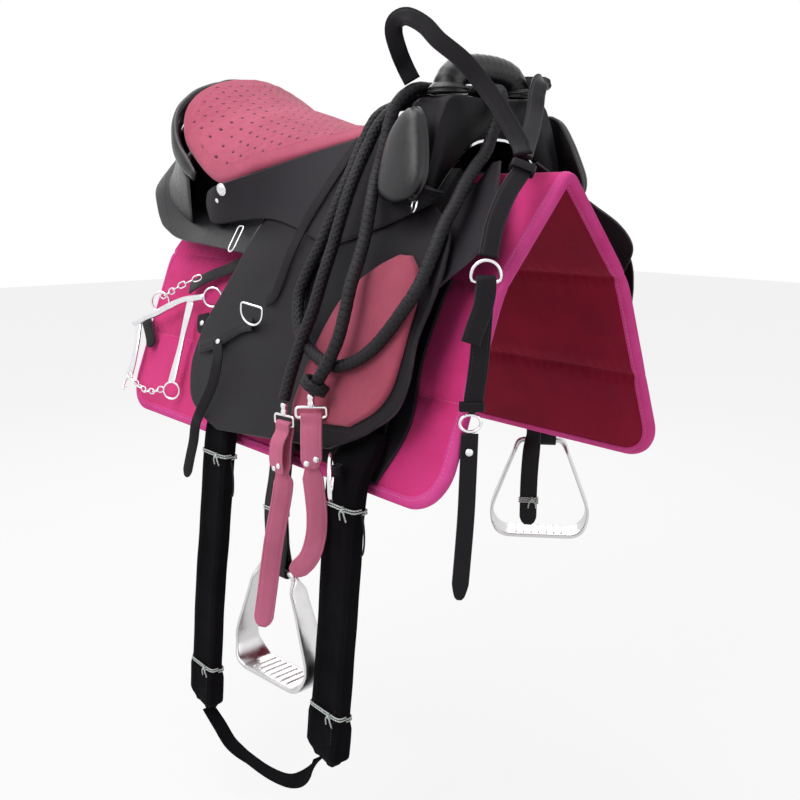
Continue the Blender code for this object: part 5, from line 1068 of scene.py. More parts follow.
# Leather tube bowed from foot to foot, each foot in a ribbed collar
def makeHandle():
    points = [(-handle["foot"], 0.0), (-handle["foot"] + 0.0005, 0.32), (-0.044, 0.76), (-0.024, 0.95),
        (0.0, 1.0)]
    points += [(-y, h) for y, h in points[-2::-1]]
    line = evenCurve([(handle["x"], y, handle["base"] + h * handle["rise"]) for y, h in points], 61)
    ring = np.stack([handle["radius"] * 1.08 * np.cos(aroundBy(28)),
        handle["radius"] * np.sin(aroundBy(28))], axis=-1)
    wrap = 1.0 + 0.012 * np.sin(np.arange(61) * 1.6)
    tube = sectionPiece("grabHandle", carry(line, (1.0, 0.0, 0.0), ring[None] * wrap[:, None, None])[0],
        *look("glossLeather"), "grab_handle")
    rib = ((1.0, 0.0002), (1.0, 0.0026), (0.955, 0.0034), (0.91, 0.0042), (0.955, 0.0050), (0.985, 0.0062),
        (0.955, 0.0074), (0.90, 0.0082), (0.87, 0.0094), (0.80, 0.0108), (0.74, 0.0125))
    a = aroundBy(40)
    made = [tube]
    for sign in (-1, 1):
        rings = [np.column_stack([handle["x"] + handle["collar"] * r * np.cos(a), sign * handle["foot"]
            + handle["collar"] * r * np.sin(a), np.full(len(a), handle["base"] + h)]) for r, h in rib]
        made.append(sectionPiece("collar", np.array(rings), *look("glossLeather")))
    joined(made)


# The seat's rim from its last station on the right, round the cantle, to the left
def rimPoints(last, count):
    k = np.linspace(last, 0.0, 14) / (len(seat["rim"]) - 1)
    right = curveAt(seat["rim"], k) * (1.0, -1.0, 1.0)
    line = evenCurve(np.vstack([right, right[::-1] * (1.0, -1.0, 1.0)]), count)
    return line, unit(np.cross([0.0, 0.0, 1.0], slopes(line)))


# The skirt's height over the back: it rises to the rear, less toward its edges
def rearSkirtHeight(x, t):
    return 0.0425 + 0.034 * ease((-0.235 - x) / 0.16) * (1.0 - 0.5 * ease((np.abs(t) - 0.09) / 0.07))


rearSkirt = {"outline": ((0.000, -0.398), (0.050, -0.404), (0.092, -0.404), (0.121, -0.382),
    (0.148, -0.352), (0.160, -0.315), (0.166, -0.280), (0.170, -0.205), (0.174, -0.130), (0.178, -0.045)),
    "dome": ((-0.370, 0.000), (-0.370, 0.050), (-0.366, 0.080), (-0.340, 0.110), (-0.302, 0.130),
    (-0.262, 0.142)), "leather": 0.004}


# A flat rolled band round the cantle, and the glossy facing that falls from it to the rear skirt
def makeCantle():
    line, outward = rimPoints(4.5, 90)
    middle = line + outward * 0.0104 - (0.0, 0.0, 0.0105)
    ends = np.abs(np.linspace(-1, 1, len(line)))
    size = 1.0 - 0.45 * ease((ends - 0.86) / 0.14)
    way = slopes(middle)
    proud = unit(outward - (outward * way).sum(1, keepdims=True) * way)
    tall = np.cross(way, proud)
    a = aroundBy(22)
    gather = 1.0 + 0.015 * np.sin(np.arange(len(line)) * 1.1)[:, None, None]
    ring = middle[:, None] + size[:, None, None] * gather * (0.0072 * np.cos(a)[None, :, None] * proud[:,
        None] + 0.0135 * np.sin(a)[None, :, None] * tall[:, None])
    sectionPiece("cantleRoll", ring, *look("glossLeather"), "cantle_roll")
    count = 81
    line, outward = rimPoints(4.2, count)
    top = line - (0.0, 0.0, 0.0305) + outward * 0.006
    dome = curveAt(rearSkirt["dome"], np.linspace(1, 0, 41))
    right = onSide(dome[:, 0], dome[:, 1], rearSkirtHeight(dome[:, 0], dome[:, 1]) + rearSkirt["leather"]
        + 3 * touch, -1)
    low = evenCurve(np.vstack([right, right[::-1][1:] * (1.0, -1.0, 1.0)]), count)
    bend = top * 0.62 + low * 0.38
    bend[:, 2] = top[:, 2] * 0.30 + low[:, 2] * 0.70
    f = edgeSteps(20, 0.09)[:, None, None]
    grid = (1 - f) ** 2 * top + 2 * f * (1 - f) * bend + f ** 2 * low
    leatherPiece("cantleBack", grid, 0.003, (-1.0, 0.0, 0.15), *look("glossLeather"),
        "cantle_back", lambda g, near: 0.0006 * noiseOver(g, 150.0, 11) * np.clip(near / 0.01, 0, 1))


# Skirt over the spine and down both sides: rows follow its outline, and it lifts off the bars to the rear
def makeRearSkirt():
    half = curveAt(rearSkirt["outline"], edgeSteps(52, 0.5, 0.004)[0:60])
    half = half[half[:, 0] >= 0]
    half[0, 0] = 0.0
    t = np.concatenate([-half[:0:-1, 0], half[:, 0]])
    rear = np.concatenate([half[:0:-1, 1], half[:, 1]])
    front = -0.255 + 0.189 * ease((np.abs(t) - 0.070) / 0.028)
    f = edgeSteps(60, 0.15)[None, :]
    x = rear[:, None] * (1 - f) + front[:, None] * f
    tt = np.broadcast_to(t[:, None], x.shape)
    grid = onSide(x, tt, rearSkirtHeight(x, tt), -1)
    top, normal = leatherPiece("rearSkirt", grid, rearSkirt["leather"], (0.0, 0.0, 1.0),
        *look("glossLeather"), "rear_skirt")[1:]
    stitchPiece("rearSkirtStitches", [(top[8:-8, 8], normal[8:-8, 8])], 0.0055, "saddle", "black_leather")


makePommel()
makeHandle()
makeCantle()
makeRearSkirt()
print("pommel, handle and cantle are made")

# Skirts, flaps and knee pads

flap = {"d": 0.0475, "leather": 0.0045, "closing": 0.010, "suede": 0.006, "seamGap": 0.0055,
    "rear": ((-0.050, 0.106), (-0.053, 0.135), (-0.062, 0.175), (-0.087, 0.220), (-0.120, 0.275),
    (-0.134, 0.325), (-0.130, 0.356), (-0.112, 0.386), (-0.072, 0.405), (-0.018, 0.418)),
    "front": ((0.290, 0.106), (0.333, 0.135), (0.357, 0.172), (0.355, 0.208), (0.345, 0.250),
    (0.347, 0.298), (0.337, 0.333), (0.300, 0.362), (0.268, 0.379), (0.235, 0.394)),
    "suedeRear": ((0.286, 0.169), (0.248, 0.183), (0.213, 0.203), (0.188, 0.235), (0.165, 0.287),
    (0.156, 0.325), (0.150, 0.352), (0.155, 0.374)), "suedeFront": ((0.305, 0.169), (0.326, 0.184),
    (0.334, 0.208), (0.332, 0.240), (0.330, 0.280), (0.325, 0.312), (0.306, 0.338), (0.268, 0.362))}
skirt = {"leather": 0.004, "high": ((-0.172, 0.151, -0.022), (-0.130, 0.1535, -0.013),
    (-0.070, 0.1345, 0.001), (-0.005, 0.1095, 0.018), (0.055, 0.0895, 0.032), (0.110, 0.0785, 0.042),
    (0.150, 0.0755, 0.048), (0.190, 0.0905, 0.041), (0.230, 0.1095, 0.022), (0.262, 0.1215, -0.003),
    (0.285, 0.1275, -0.022)), "low": ((-0.222, 0.124), (-0.182, 0.144), (-0.100, 0.136), (-0.030, 0.134),
    (0.050, 0.149), (0.100, 0.159), (0.142, 0.164), (0.200, 0.149), (0.246, 0.127), (0.278, 0.107),
    (0.293, 0.088)), "frontRear": ((0.301, 0.018), (0.301, 0.055), (0.301, 0.090), (0.301, 0.125),
    (0.300, 0.160), (0.300, 0.188)), "frontFront": ((0.312, 0.016), (0.336, 0.052), (0.358, 0.086),
    (0.380, 0.122), (0.380, 0.158), (0.350, 0.190))}
sweat = {"d": -0.0035, "leather": 0.003, "rear": ((-0.050, 0.168), (-0.065, 0.210), (-0.090, 0.280),
    (-0.090, 0.340), (-0.020, 0.408)), "front": ((0.318, 0.168), (0.312, 0.210), (0.308, 0.270),
    (0.316, 0.345), (0.286, 0.418)), "billets": (0.262, -0.046)}


# The flap closes on the horse by up to 10 mm going down
def flapHeight(x, t):
    return flap["d"] - flap["closing"] * np.clip((t - 0.17) / 0.20, 0.0, 1.0) + 0.0 * x


# Grid whose rows run from the rear outline to the front one, d proud of the horse's side
def sideSheet(rear, front, rows, columns, d, side):
    rear, front = curveAt(rear, rows), curveAt(front, rows)
    x = rear[:, :1] * (1 - columns) + front[:, :1] * columns
    t = rear[:, 1:] * (1 - columns) + front[:, 1:] * columns
    return onSide(x, t, d(x, t), side)


# Rows from the seat's rim to the low edge, bowed out by 4 mm
def skirtGrid(side, rows, columns):
    high = curveAt(skirt["high"], columns) * (1, side, 1)
    low = curveAt([(x, t, 0.0) for x, t in skirt["low"]], columns)
    low = onSide(low[:, 0], low[:, 1], flap["d"] + flap["leather"] + touch, side)
    f = rows[:, None, None]
    grid = high * (1 - f) + low * f
    grid[:, :, 1] += side * 0.004 * hump(f[:, :, 0])
    return grid


# Row and column of the grid's point that lies nearest
def nearestOf(grid, point):
    return np.unravel_index(np.argmin(np.linalg.norm(grid - point, axis=2)), grid.shape[:2])


# Skirt with a creased edge, a flower concho and a rivet
def makeSeatSkirt(side, tag):
    top, normal = leatherPiece("seatSkirt" + tag.title(), skirtGrid(side, edgeSteps(26, 0.09),
        edgeSteps(120, 0.52)), skirt["leather"], (0.0, side, 0.5), *look("matteLeather"), "seat_skirt_"
        + tag, lambda g, near: -0.0004 * np.exp(-((near - 0.006) / 0.0011) ** 2))[1:]
    k = nearestOf(top, np.array([-0.128, side * 0.1545, -0.022]))
    studPiece("concho" + tag.title(), top[k], normal[k], 0.0092, 0.0042, *look("chrome"), "concho_" + tag,
        flower=12)
    k = nearestOf(top, np.array([-0.145, side * 0.1545, -0.039]))
    studPiece("skirtRivet" + tag.title(), top[k] - normal[k] * 0.0002, normal[k], 0.0036, 0.0016,
        *look("chrome"))


# Flap with a creased and stitched border round its suede insert
def makeFlap(side, tag):
    shape = lambda g, near: -0.0005 * np.exp(-((near - 0.007) / 0.0012) ** 2) + 0.0005 * noiseOver(g, 26.0,
        21) * np.clip(near / 0.03, 0, 1)
    leatherPiece("flap" + tag.title(), sideSheet(flap["rear"], flap["front"], edgeSteps(90, 0.34),
        edgeSteps(80, 0.4), flapHeight, side), flap["leather"], (0.0, side, 0.4), *look("blackLeather"),
        "flap_" + tag, shape)
    height = lambda x, t: flapHeight(x, t) + flap["leather"] + touch
    swell = lambda g, near: 0.0010 * ease(near / 0.02) - 0.0014 * np.clip(1 - near / 0.005, 0, 1) ** 2
    # The suede insert's finish is the seat's pink darkened by painted shade
    leatherPiece("flapSuede" + tag.title(), sideSheet(flap["suedeRear"], flap["suedeFront"],
        edgeSteps(60, 0.22), edgeSteps(44, 0.15), height, side), flap["suede"], (0.0, side, 0.4),
        *look("insertSuede"), "flap_suede_" + tag, swell)
    gap = flap["seamGap"]
    rear = np.array(flap["suedeRear"][-1]) + (-gap, 0.006)
    front = np.array(flap["suedeFront"][-1]) + (gap, 0.006)
    s = np.linspace(0.04, 1.0, 60)
    lines = []
    for path in (curveAt(flap["suedeRear"], s) + (-gap, 0.002), curveAt(flap["suedeFront"], s)
            + (gap, 0.002), rear + (front - rear) * np.linspace(0, 1, 12)[:, None]):
        lift = flapHeight(path[:, 0], path[:, 1]) + flap["leather"] + 0.0002
        row = onSide(path[:, 0], path[:, 1], lift, side)
        lines.append((row, unit(row - onSide(path[:, 0], path[:, 1], lift - 0.01, side))))
    stitchPiece("flapStitches" + tag.title(), lines, 0.0048, "saddle", "black_leather")


# Leather under the flap with its two billets, wrinkled on the right side, which shows
def makeSweatFlap(side, tag):
    grid = sideSheet(sweat["rear"], sweat["front"], edgeSteps(60, 0.26),
        edgeSteps(50, 0.38), lambda x, t: sweat["d"] + 0 * x, side)
    wrinkle = lambda g, near: 0.0009 * np.maximum(noiseOver(g * (1, 1, 0.35), 120.0, 31),
        0) * np.clip(near / 0.02, 0, 1)
    piece = leatherPiece("sweatFlap" + tag.title(), grid, sweat["leather"], (0.0, side, 0.4),
        *look("underLeather"), "sweat_flap_" + tag, wrinkle if side < 0 else None)[0]
    made = [piece]
    for x in sweat["billets"]:
        t = np.linspace(0.170, 0.372, 40)
        path = onSide(np.full(40, x), t, sweat["d"] + sweat["leather"] - 0.0004 + 0.0015, side)
        made.append(strapPiece("billet", path, (1.0, 0.0, 0.0), 0.038, 0.003, *look("blackLeather")))
    joined(made)


# Small skirt before the pommel, standing off more the lower it lies
def makeFrontSkirt(side, tag):
    grid = sideSheet(skirt["frontRear"], skirt["frontFront"], edgeSteps(40, 0.17),
        edgeSteps(18, 0.06), lambda x, t: 0.019 + 0.10 * t + 0.0 * x, side)
    leatherPiece("frontSkirt" + tag.title(), grid, skirt["leather"], (0.2, side, 0.4),
        *look("matteLeather"), "front_skirt_" + tag)


knee = {"lean": (0.1262, 0.25), "outline": ((0.226, -0.030), (0.220, 0.004), (0.224, 0.036),
    (0.235, 0.058), (0.252, 0.070), (0.270, 0.063), (0.283, 0.040), (0.293, 0.012), (0.298, -0.010),
    (0.293, -0.028), (0.278, -0.038), (0.252, -0.041))}


# Stuffed pad: its outline carried outwards and drawn in as a dome, with a piped edge
def makeKneePad(side, tag):
    outline = np.array(knee["outline"])
    run = evenCurve(np.vstack([outline[-1:], outline, outline[:2]]), 200)
    start = np.argmin(np.linalg.norm(run[:60] - outline[0], axis=1))
    stop = 140 + np.argmin(np.linalg.norm(run[140:] - outline[0], axis=1))
    run = run[start:stop]
    middle = run.mean(axis=0)
    rings = []
    for grow, out in ((0.955, -0.0002), (0.985, 0.0008), (1.003, 0.0030), (0.995, 0.0052), (0.975, 0.0062),
            (0.968, 0.0070), (0.972, 0.0090), (0.965, 0.0116), (0.93, 0.0142), (0.87, 0.0166),
            (0.76, 0.0187), (0.60, 0.0203), (0.40, 0.0213), (0.20, 0.0218), (0.04, 0.0220)):
        flat = middle + (run - middle) * grow
        y = knee["lean"][0] - flat[:, 1] * knee["lean"][1] + out
        rings.append(np.column_stack([flat[:, 0], side * y, flat[:, 1]]))
    piece = sectionPiece("kneePad" + tag.title(), np.array(rings), *look("glossLeather"), "knee_pad_" + tag)


for side, tag in ((-1, "right"), (1, "left")):
    makeSeatSkirt(side, tag)
    makeFlap(side, tag)
    makeSweatFlap(side, tag)
    makeFrontSkirt(side, tag)
    makeKneePad(side, tag)
print("skirts and flaps are made")

# Stirrups and their leathers

stirrup = {"x": {-1: 0.108, 1: 0.152}, "y": {-1: 0.223, 1: 0.2265}, "top": {-1: -0.510, 1: -0.397},
    "yaw": {-1: 6.0, 1: 44.0}, "pin": 0.0045, "outline": ((0.0, 0.0), (0.016, 0.0), (0.0285, 0.0004),
    (0.0350, 0.0055), (0.0400, 0.0170), (0.0500, 0.0430), (0.0610, 0.0720), (0.0700, 0.0960),
    (0.0735, 0.1110), (0.0715, 0.1270), (0.0640, 0.1400), (0.0520, 0.1465), (0.0380, 0.1475),
    (0.0190, 0.1475), (0.0, 0.1475)), "leather": (0.045, 0.0025), "barRadius": 0.003, "barDrop": 0.1475,
    "barD": 0.0365}


# One closed ring of cast metal: its section goes from a round bar to a flat wide leg and a wider tread
def makeStirrup(side, tag):
    half = evenCurve([(u, v) for u, v in stirrup["outline"]], 61)
    outline = np.vstack([half, (half * (-1, 1))[-2:0:-1]])
    down = outline[:, 1]
    flat = ease((down - 0.002) / 0.020)
    tread = ease((down - 0.118) / 0.026)
    thick = stirrup["pin"] * (1 - flat) + (0.0025 + 0.0010 * tread) * flat
    wide = stirrup["pin"] * (1 - flat) + (0.0135 + 0.0050 * ease((down - 0.02) / 0.09)
        + 0.0065 * tread) * flat
    yaw = math.radians(stirrup["yaw"][side])
    across, deep = np.array([math.cos(yaw), math.sin(yaw), 0.0]), np.array([-math.sin(yaw), math.cos(yaw),
        0.0])
    top = np.array([stirrup["x"][side], side * stirrup["y"][side], stirrup["top"][side]])
    line = top + outline[:, :1] * across - outline[:, 1:] * np.array([0.0, 0.0, 1.0])
    ring = blockRing(wide, thick, 2.0 + 3.5 * flat, 32)
    sections = carry(line, deep, ring, True)[0]
    piece = sectionPiece("stirrup" + tag.title(), sections, *look("aluminium", "stirrup_" + tag),
        "stirrup_" + tag, True)
    treads = []
    for k in (-3, -2, -1, 0, 1, 2, 3):
        v = np.linspace(-0.019, 0.019, 9)
        path = top + across * (k * 0.0115) + deep * v[:, None] - np.array([0, 0, 0.1475 - 0.0036])
        treads.append(wirePiece("treadRib%d" % (k + 4), path, 0.0011, *look("aluminium", "stirrup_" + tag),
            sides=8))
    joined([piece] + treads)


# The doubled strap's middle line and how far it has turned to its stirrup
def leatherMiddle(side):
    x, y, pin = stirrup["x"][side], stirrup["y"][side], stirrup["top"][side]
    down = lambda pairs: np.array([onSide(x, t, d, side) for t, d in pairs])
    bar = down([(stirrup["barDrop"], stirrup["barD"])])
    if side < 0:
        under = down([(0.20, 0.032), (0.28, 0.026), (0.35, 0.021), (0.395, 0.0185)])
        low = [(x, side * 0.2165, -0.385), (x, side * y, -0.425), (x, side * y, -0.465), (x, side * y, pin)]
    else:
        under = down([(0.20, 0.032), (0.27, 0.027), (0.33, 0.023)])
        low = [(x, side * 0.2120, -0.328), (x, side * 0.2240, -0.354), (x, side * y, -0.378),
            (x, side * y, pin)]
    line = evenCurve(np.vstack([bar, under, low]), 90)
    begin, end = (-0.385, -0.450) if side < 0 else (-0.343, -0.385)
    return line, stirrup["yaw"][side] * ease((begin - line[:, 2]) / (begin - end))


# One closed strap: two plies down the line, round the tree's bar above and the stirrup's top bar below
def makeStirrupLeather(side, tag):
    line, turn = leatherMiddle(side)
    width, thick = stirrup["leather"]
    yaw = np.radians(turn)
    way = slopes(line)
    across = np.column_stack([np.cos(yaw), np.sin(yaw), 0 * yaw])
    across = unit(across - (across * way).sum(1, keepdims=True) * way)
    proud = np.cross(across, way)
    atBar, atPin = stirrup["barRadius"] + 0.0006 + thick / 2, stirrup["pin"] + 0.0011 + thick / 2
    run = np.linspace(0.0, 1.0, len(line))
    apart = 0.0019 + (atBar - 0.0019) * (1 - ease(run / 0.10)) + (atPin - 0.0019) * ease((run - 0.90)
        / 0.10)
    outer, inner = line + proud * apart[:, None], line - proud * apart[:, None]
    turns = np.linspace(0, math.pi, 12)[1:-1, None]
    low = line[-1] + atPin * (np.cos(turns) * proud[-1] + np.sin(turns) * way[-1])
    high = line[0] - way[0] * 0.0052 + atBar * (-np.cos(turns) * proud[0] - np.sin(turns) * way[0])
    path = np.vstack([outer, low, inner[::-1], high])
    ways = np.vstack([across, np.repeat(across[-1:], len(low), 0), across[::-1],
        np.repeat(across[:1], len(high), 0)])
    strapPiece("stirrupLeather" + tag.title(), path, ways, width, thick,
        *look("blackLeather", "leather_" + tag), "stirrup_leather_" + tag, closed=True)
    keep = (line[:, 2] < -0.40) & (line[:, 2] > stirrup["top"][side] + 0.02)
    if keep.sum() > 4:
        rows = [(outer[keep] + across[keep] * s * (width / 2 - 0.005) + proud[keep] * (thick / 2 + 0.0002),
            proud[keep]) for s in (-1, 1)]
        stitchPiece("leatherStitches" + tag.title(), rows, 0.005, "leather_" + tag, "black_leather")


leatherTail = {"line": ((0.157, 0.2072, -0.3535), (0.157, 0.2062, -0.375), (0.157, 0.2000, -0.412),
    (0.157, 0.1966, -0.460), (0.157, 0.1966, -0.526)), "width": 0.026, "turn": 41.0}


# Spare end of the left leather, turned to its stirrup
def makeLeatherTail():
    path = evenCurve(leatherTail["line"], 50)
    turn = np.radians(leatherTail["turn"] * ease((-0.372 - path[:, 2]) / 0.05))
    wide = leatherTail["width"] * pointed(path, 0.012, 0.4)
    strapPiece("leatherTailLeft", path, np.column_stack([np.cos(turn), np.sin(turn), 0 * turn]), wide,
        0.0025, *look("blackLeather", "leather_left"), "leather_tail_left")


for side, tag in ((-1, "right"), (1, "left")):
    makeStirrup(side, tag)
    makeStirrupLeather(side, tag)
makeLeatherTail()
print("stirrups are made")

# Girths

girth = {"y": 0.2165, "width": 0.064, "thick": 0.020, "front": 0.262, "rear": -0.046, "ring": 0.0255}


# Middle line of a girth, from under the flap to its low end
def girthLine(rear):
    if rear:
        x0, x1, x2, end = girth["rear"], -0.050, -0.124, -0.800
    else:
        x0, x1, x2, end = girth["front"], 0.2515, 0.205, -0.738
    d = sweat["d"] + sweat["leather"] - 0.0004 + 0.003 + touch + girth["thick"] / 2
    start = [onSide(x0, t, d, -1) for t in (0.360, 0.385)]
    y = -girth["y"]
    return evenCurve(np.array(start + [(x0 * 0.6 + x1 * 0.4, -0.2115, -0.345), (x1, y, -0.380),
        (x1 * 0.68 + x2 * 0.32, y, -0.50), (x1 * 0.34 + x2 * 0.66, y, -0.62), (x2, y, end)]), 150)


# Folded webbing: a flat rounded section with two long folds, thicker where its end is doubled back
def makeGirth(tag, rear):
    line = girthLine(rear)
    run = np.linalg.norm(line - line[-1], axis=1)
    end = 1.0 - ease((run - 0.055) / 0.020)
    toe = 1.0 - 0.35 * (1.0 - ease(run / 0.016))
    wide = girth["width"] / 2 * (1.0 + 0.03 * end) * toe
    deep = girth["thick"] / 2 * (1.0 + 0.40 * end) * toe
    ring = blockRing(wide, deep, np.full(len(line), 6.0), 48)
    share = ring[:, :, 0] / wide[:, None]
    dent = 0.0016 * np.exp(-((np.abs(share) - 0.42) / 0.07) ** 2) + 0.0007 * np.exp(-((np.abs(share)
        - 0.86) / 0.05) ** 2)
    ring[:, :, 1] -= np.sign(ring[:, :, 1]) * dent * np.clip(np.abs(ring[:, :, 1]) / (0.5 * deep[:, None]),
        0, 1)
    sections = carry(line, (1.0, 0.0, 0.0), ring)[0]
    sag = 0.0006 * noiseOver(sections, 70.0, 17)
    middle = sections.mean(1, keepdims=True)
    sections = middle + (sections - middle) * (1 + sag[..., None] / 0.02)
    sectionPiece("girth" + tag.title(), sections, *look("webbing", "girth_set"), "girth_" + tag)
    out = np.array([0.0, -1.0, 0.0])
    at = lambda z: int(np.argmin(np.abs(line[:, 2] - z)))
    rows = []
    for k0, k1 in ((at(-0.72 if rear else -0.655), at(-0.775 if rear else -0.71)),):
        for s in (-0.72, 0.72):
            rows.append((line[k0:k1] + np.array([1.0, 0, 0]) * (s * wide[k0:k1])[:, None]
                + out * (deep[k0:k1] + 0.0004)[:, None], out))
    stitchPiece("girthStitches" + tag.title(), rows, 0.005, "girth_set", "black_webbing")
    return line, wide, deep


tie = {"string": 0.0010, "knot": 0.0011, "gap": 0.0013, "lay": 0.0032, "square": 0.34, "tail": 0.014}


# White string wound round a strap, with a small knot and two cut ends on its outer face
def tieRound(name, centre, across, deepWay, halfWide, halfDeep, body, turns=2):
    a = np.linspace(0, 2 * math.pi * turns, 60 * turns)
    c, n = np.cos(a), np.sin(a)
    u, v = squared(c, tie["square"]) * (halfWide + tie["gap"]), squared(n, tie["square"]) * (halfDeep
        + tie["gap"])
    across, deepWay = unit(across), unit(deepWay)
    down = np.cross(across, deepWay)
    down = down if down[2] < 0 else -down
    path = np.asarray(centre) + u[:, None] * across + v[:, None] * deepWay + (a / (2 * math.pi)
        * tie["lay"])[:, None] * down
    made = [wirePiece(name, path, tie["string"], *look("whiteString", body), sides=8)]
    knot = np.asarray(centre) + deepWay * (halfDeep + 0.0030) + across * halfWide * 0.45 + down * 0.002
    b = aroundBy(40)[:, None]
    clover = knot + across * 0.0030 * np.sin(2 * b) + down * 0.0026 * np.sin(b)
    clover = clover + deepWay * 0.0012 * np.cos(3 * b)
    made.append(wirePiece("knot", clover, tie["knot"], *look("whiteString", body), closed=True, sides=8))
    for s in (-1, 1):
        ends = np.array([knot, knot + s * across * 0.004 + down * 0.004 + deepWay * 0.002,
            knot + s * across * 0.006 + down * tie["tail"]])
        made.append(wirePiece("end", evenCurve(ends, 14), tie["string"], *look("whiteString", body),
            sides=8))
    return joined(made)


# Both girths with ties, keeper cords, ring, chape and the strap between
def makeGirths():
    for tag, rear in (("front", False), ("rear", True)):
        line, wide, deep = makeGirth(tag, rear)
        for n, z in enumerate((-0.384, -0.728) if rear else (-0.386, -0.662)):
            k = int(np.argmin(np.abs(line[:, 2] - z)))
            tieRound("girthTie%s%d" % (tag.title(), n), line[k], (1, 0, 0), (0, -1, 0), wide[k], deep[k],
                "girth_set")
        k = int(np.argmin(np.abs(line[:, 2] + 0.392)))
        for s in (-1, 1):  # keeper cord bowed out from the girth's edge
            a = np.linspace(0, math.pi, 30)[:, None]
            edge = line[k] + np.array([s * (wide[k] + 0.0004), 0, 0])
            path = edge + np.array([s * 1.0, -0.15, 0]) * 0.0085 * np.sin(a) - np.array([0, 0,
                1.0]) * 0.050 * (1 - np.cos(a)) / 2
            wirePiece("keeperCord%s%s" % (tag.title(), "Rear" if s < 0 else "Front"), path, 0.0012,
                *look("blackCord", "girth_set"), sides=8)
    middle = np.array([0.2800, -0.2560, -0.3400])
    inward = unit(np.array([-0.777, 0.629, 0.0]))
    wirePiece("girthRing", ringPath(middle, girth["ring"], (0.629, 0.777, 0.0), 64), 0.0026,
        *look("chrome", "girth_set"), "girth_ring", True)
    touchAt = middle + inward * girth["ring"]
    faceY, r = -girth["y"] - girth["thick"] / 2, 0.0026 + 0.0014 + 0.001
    bow = [(touchAt[0] + r * math.cos(k), touchAt[1] + r * math.sin(k), -0.3400)
        for k in np.radians(np.linspace(180, 360, 13))]
    near = faceY - touch - 0.0011
    path = np.array(bow + [(touchAt[0] + r, (touchAt[1] + near) / 2, -0.34),
        (touchAt[0] + r - 0.0005, near, -0.34), (touchAt[0] - r + 0.0005, near, -0.34),
        (touchAt[0] - r, (touchAt[1] + near) / 2, -0.34)])
    strapPiece("girthChape", path, (0.0, 0.0, 1.0), 0.012, 0.002, *look("blackLeather", "girth_set"),
        "girth_chape", closed=True)
    y = -girth["y"]
    line = evenCurve([(-0.118, y, -0.8085), (-0.086, y, -0.822), (-0.050, y, -0.838), (0.000, y, -0.838),
        (0.060, y, -0.833), (0.115, y, -0.818), (0.155, y, -0.790), (0.188, y, -0.7475)], 120)
    turn = np.radians(np.interp(np.linspace(0, 1, 120), [0, 0.15, 0.35, 0.75, 0.9, 1.0],
        [90, 60, 5, 0, 40, 90]))
    sideways = np.array([0.0, 1.0, 0.0])
    other = np.cross(slopes(line), sideways)
    strapPiece("girthConnector", line, np.cos(turn)[:, None] * other + np.sin(turn)[:, None] * sideways,
        0.020, 0.003, *look("webbing", "girth_set"), "girth_connector", crease=False)


makeGirths()
for side, tag in ((-1, "right"), (1, "left")):
    line, turn = leatherMiddle(side)
    z = -0.428 if side < 0 else -0.372
    k = int(np.argmin(np.abs(line[:, 2] - z)))
    yaw = math.radians(turn[k])
    if side < 0:
        tieRound("leatherTie" + tag.title(), line[k], (math.cos(yaw), math.sin(yaw), 0),
            (math.sin(yaw), -math.cos(yaw), 0), 0.0225, 0.0034, "leather_" + tag)
turn = math.radians(41)
tieRound("tailTieLeft", (0.157, 0.1966, -0.482), (math.cos(turn), math.sin(turn), 0),
    (math.sin(turn), -math.cos(turn), 0), 0.013, 0.0016, "leather_left", 3)
print("girths are made")

# Bridle and reins' ends

bridle = {"width": 0.021, "thick": 0.004, "dee": (0.4120, -0.1480, -0.1120),
    "crown": ((0.2080, -0.0790, 0.1040), (0.2060, -0.0880, 0.1190), (0.2110, -0.1020, 0.1350),
    (0.2175, -0.1150, 0.1540), (0.2250, -0.1175, 0.1660), (0.2375, -0.1110, 0.1700),
    (0.2545, -0.1000, 0.1595), (0.2700, -0.0915, 0.1420), (0.2900, -0.0740, 0.1210),
    (0.3050, -0.0600, 0.0980), (0.3260, -0.0520, 0.0710), (0.3450, -0.0490, 0.0450),
    (0.3600, -0.0490, 0.0265), (0.3700, -0.0535, 0.0145)), "brow": ((0.2220, 0.0300, 0.1050),
    (0.2165, 0.0620, 0.1090), (0.2320, 0.0900, 0.1090), (0.2560, 0.0965, 0.1080), (0.2790, 0.0680, 0.1080),
    (0.2920, 0.0480, 0.0900), (0.3040, 0.0330, 0.0700), (0.3270, 0.0030, 0.0450),
    (0.3480, -0.0270, 0.0230), (0.3600, -0.0430, 0.0125)), "cheek": ((0.3740, -0.0560, 0.0040),
    (0.3775, -0.0630, -0.0040), (0.3850, -0.0920, -0.0280), (0.3940, -0.1180, -0.0580),
    (0.4020, -0.1330, -0.0820), (0.4062, -0.1394, -0.0935))}


# Strap whose face looks toward a way, with a rounded point where it has one
def flatStrap(name, points, count, body, nodes, width=0.021, toward=upFace, thick=0.004, tip=0.0,
        stitched=(0.0032, 0.0042)):
    path = evenCurve(points, count)
    wide = np.full(count, width)
    if tip:
        wide = width * pointed(path, tip, 0.30)
    across = unit(np.cross(slopes(path), np.broadcast_to(toward, path.shape)))
    return strapPiece(name, path, across, wide, thick, *look("blackLeather", body), nodes,
        stitched=stitched)


# Rounded rectangle round a strap
def hoopPath(centre, across, halfWide, deep, halfDeep, r=0.003):
    across, deep = unit(across), unit(deep)
    a = aroundBy(48) + 0.01
    c, n = np.cos(a), np.sin(a)
    return np.asarray(centre) + (np.sign(c) * (halfWide - r) + r * c)[:, None] * across + (np.sign(n)
        * (halfDeep - r) + r * n)[:, None] * deep


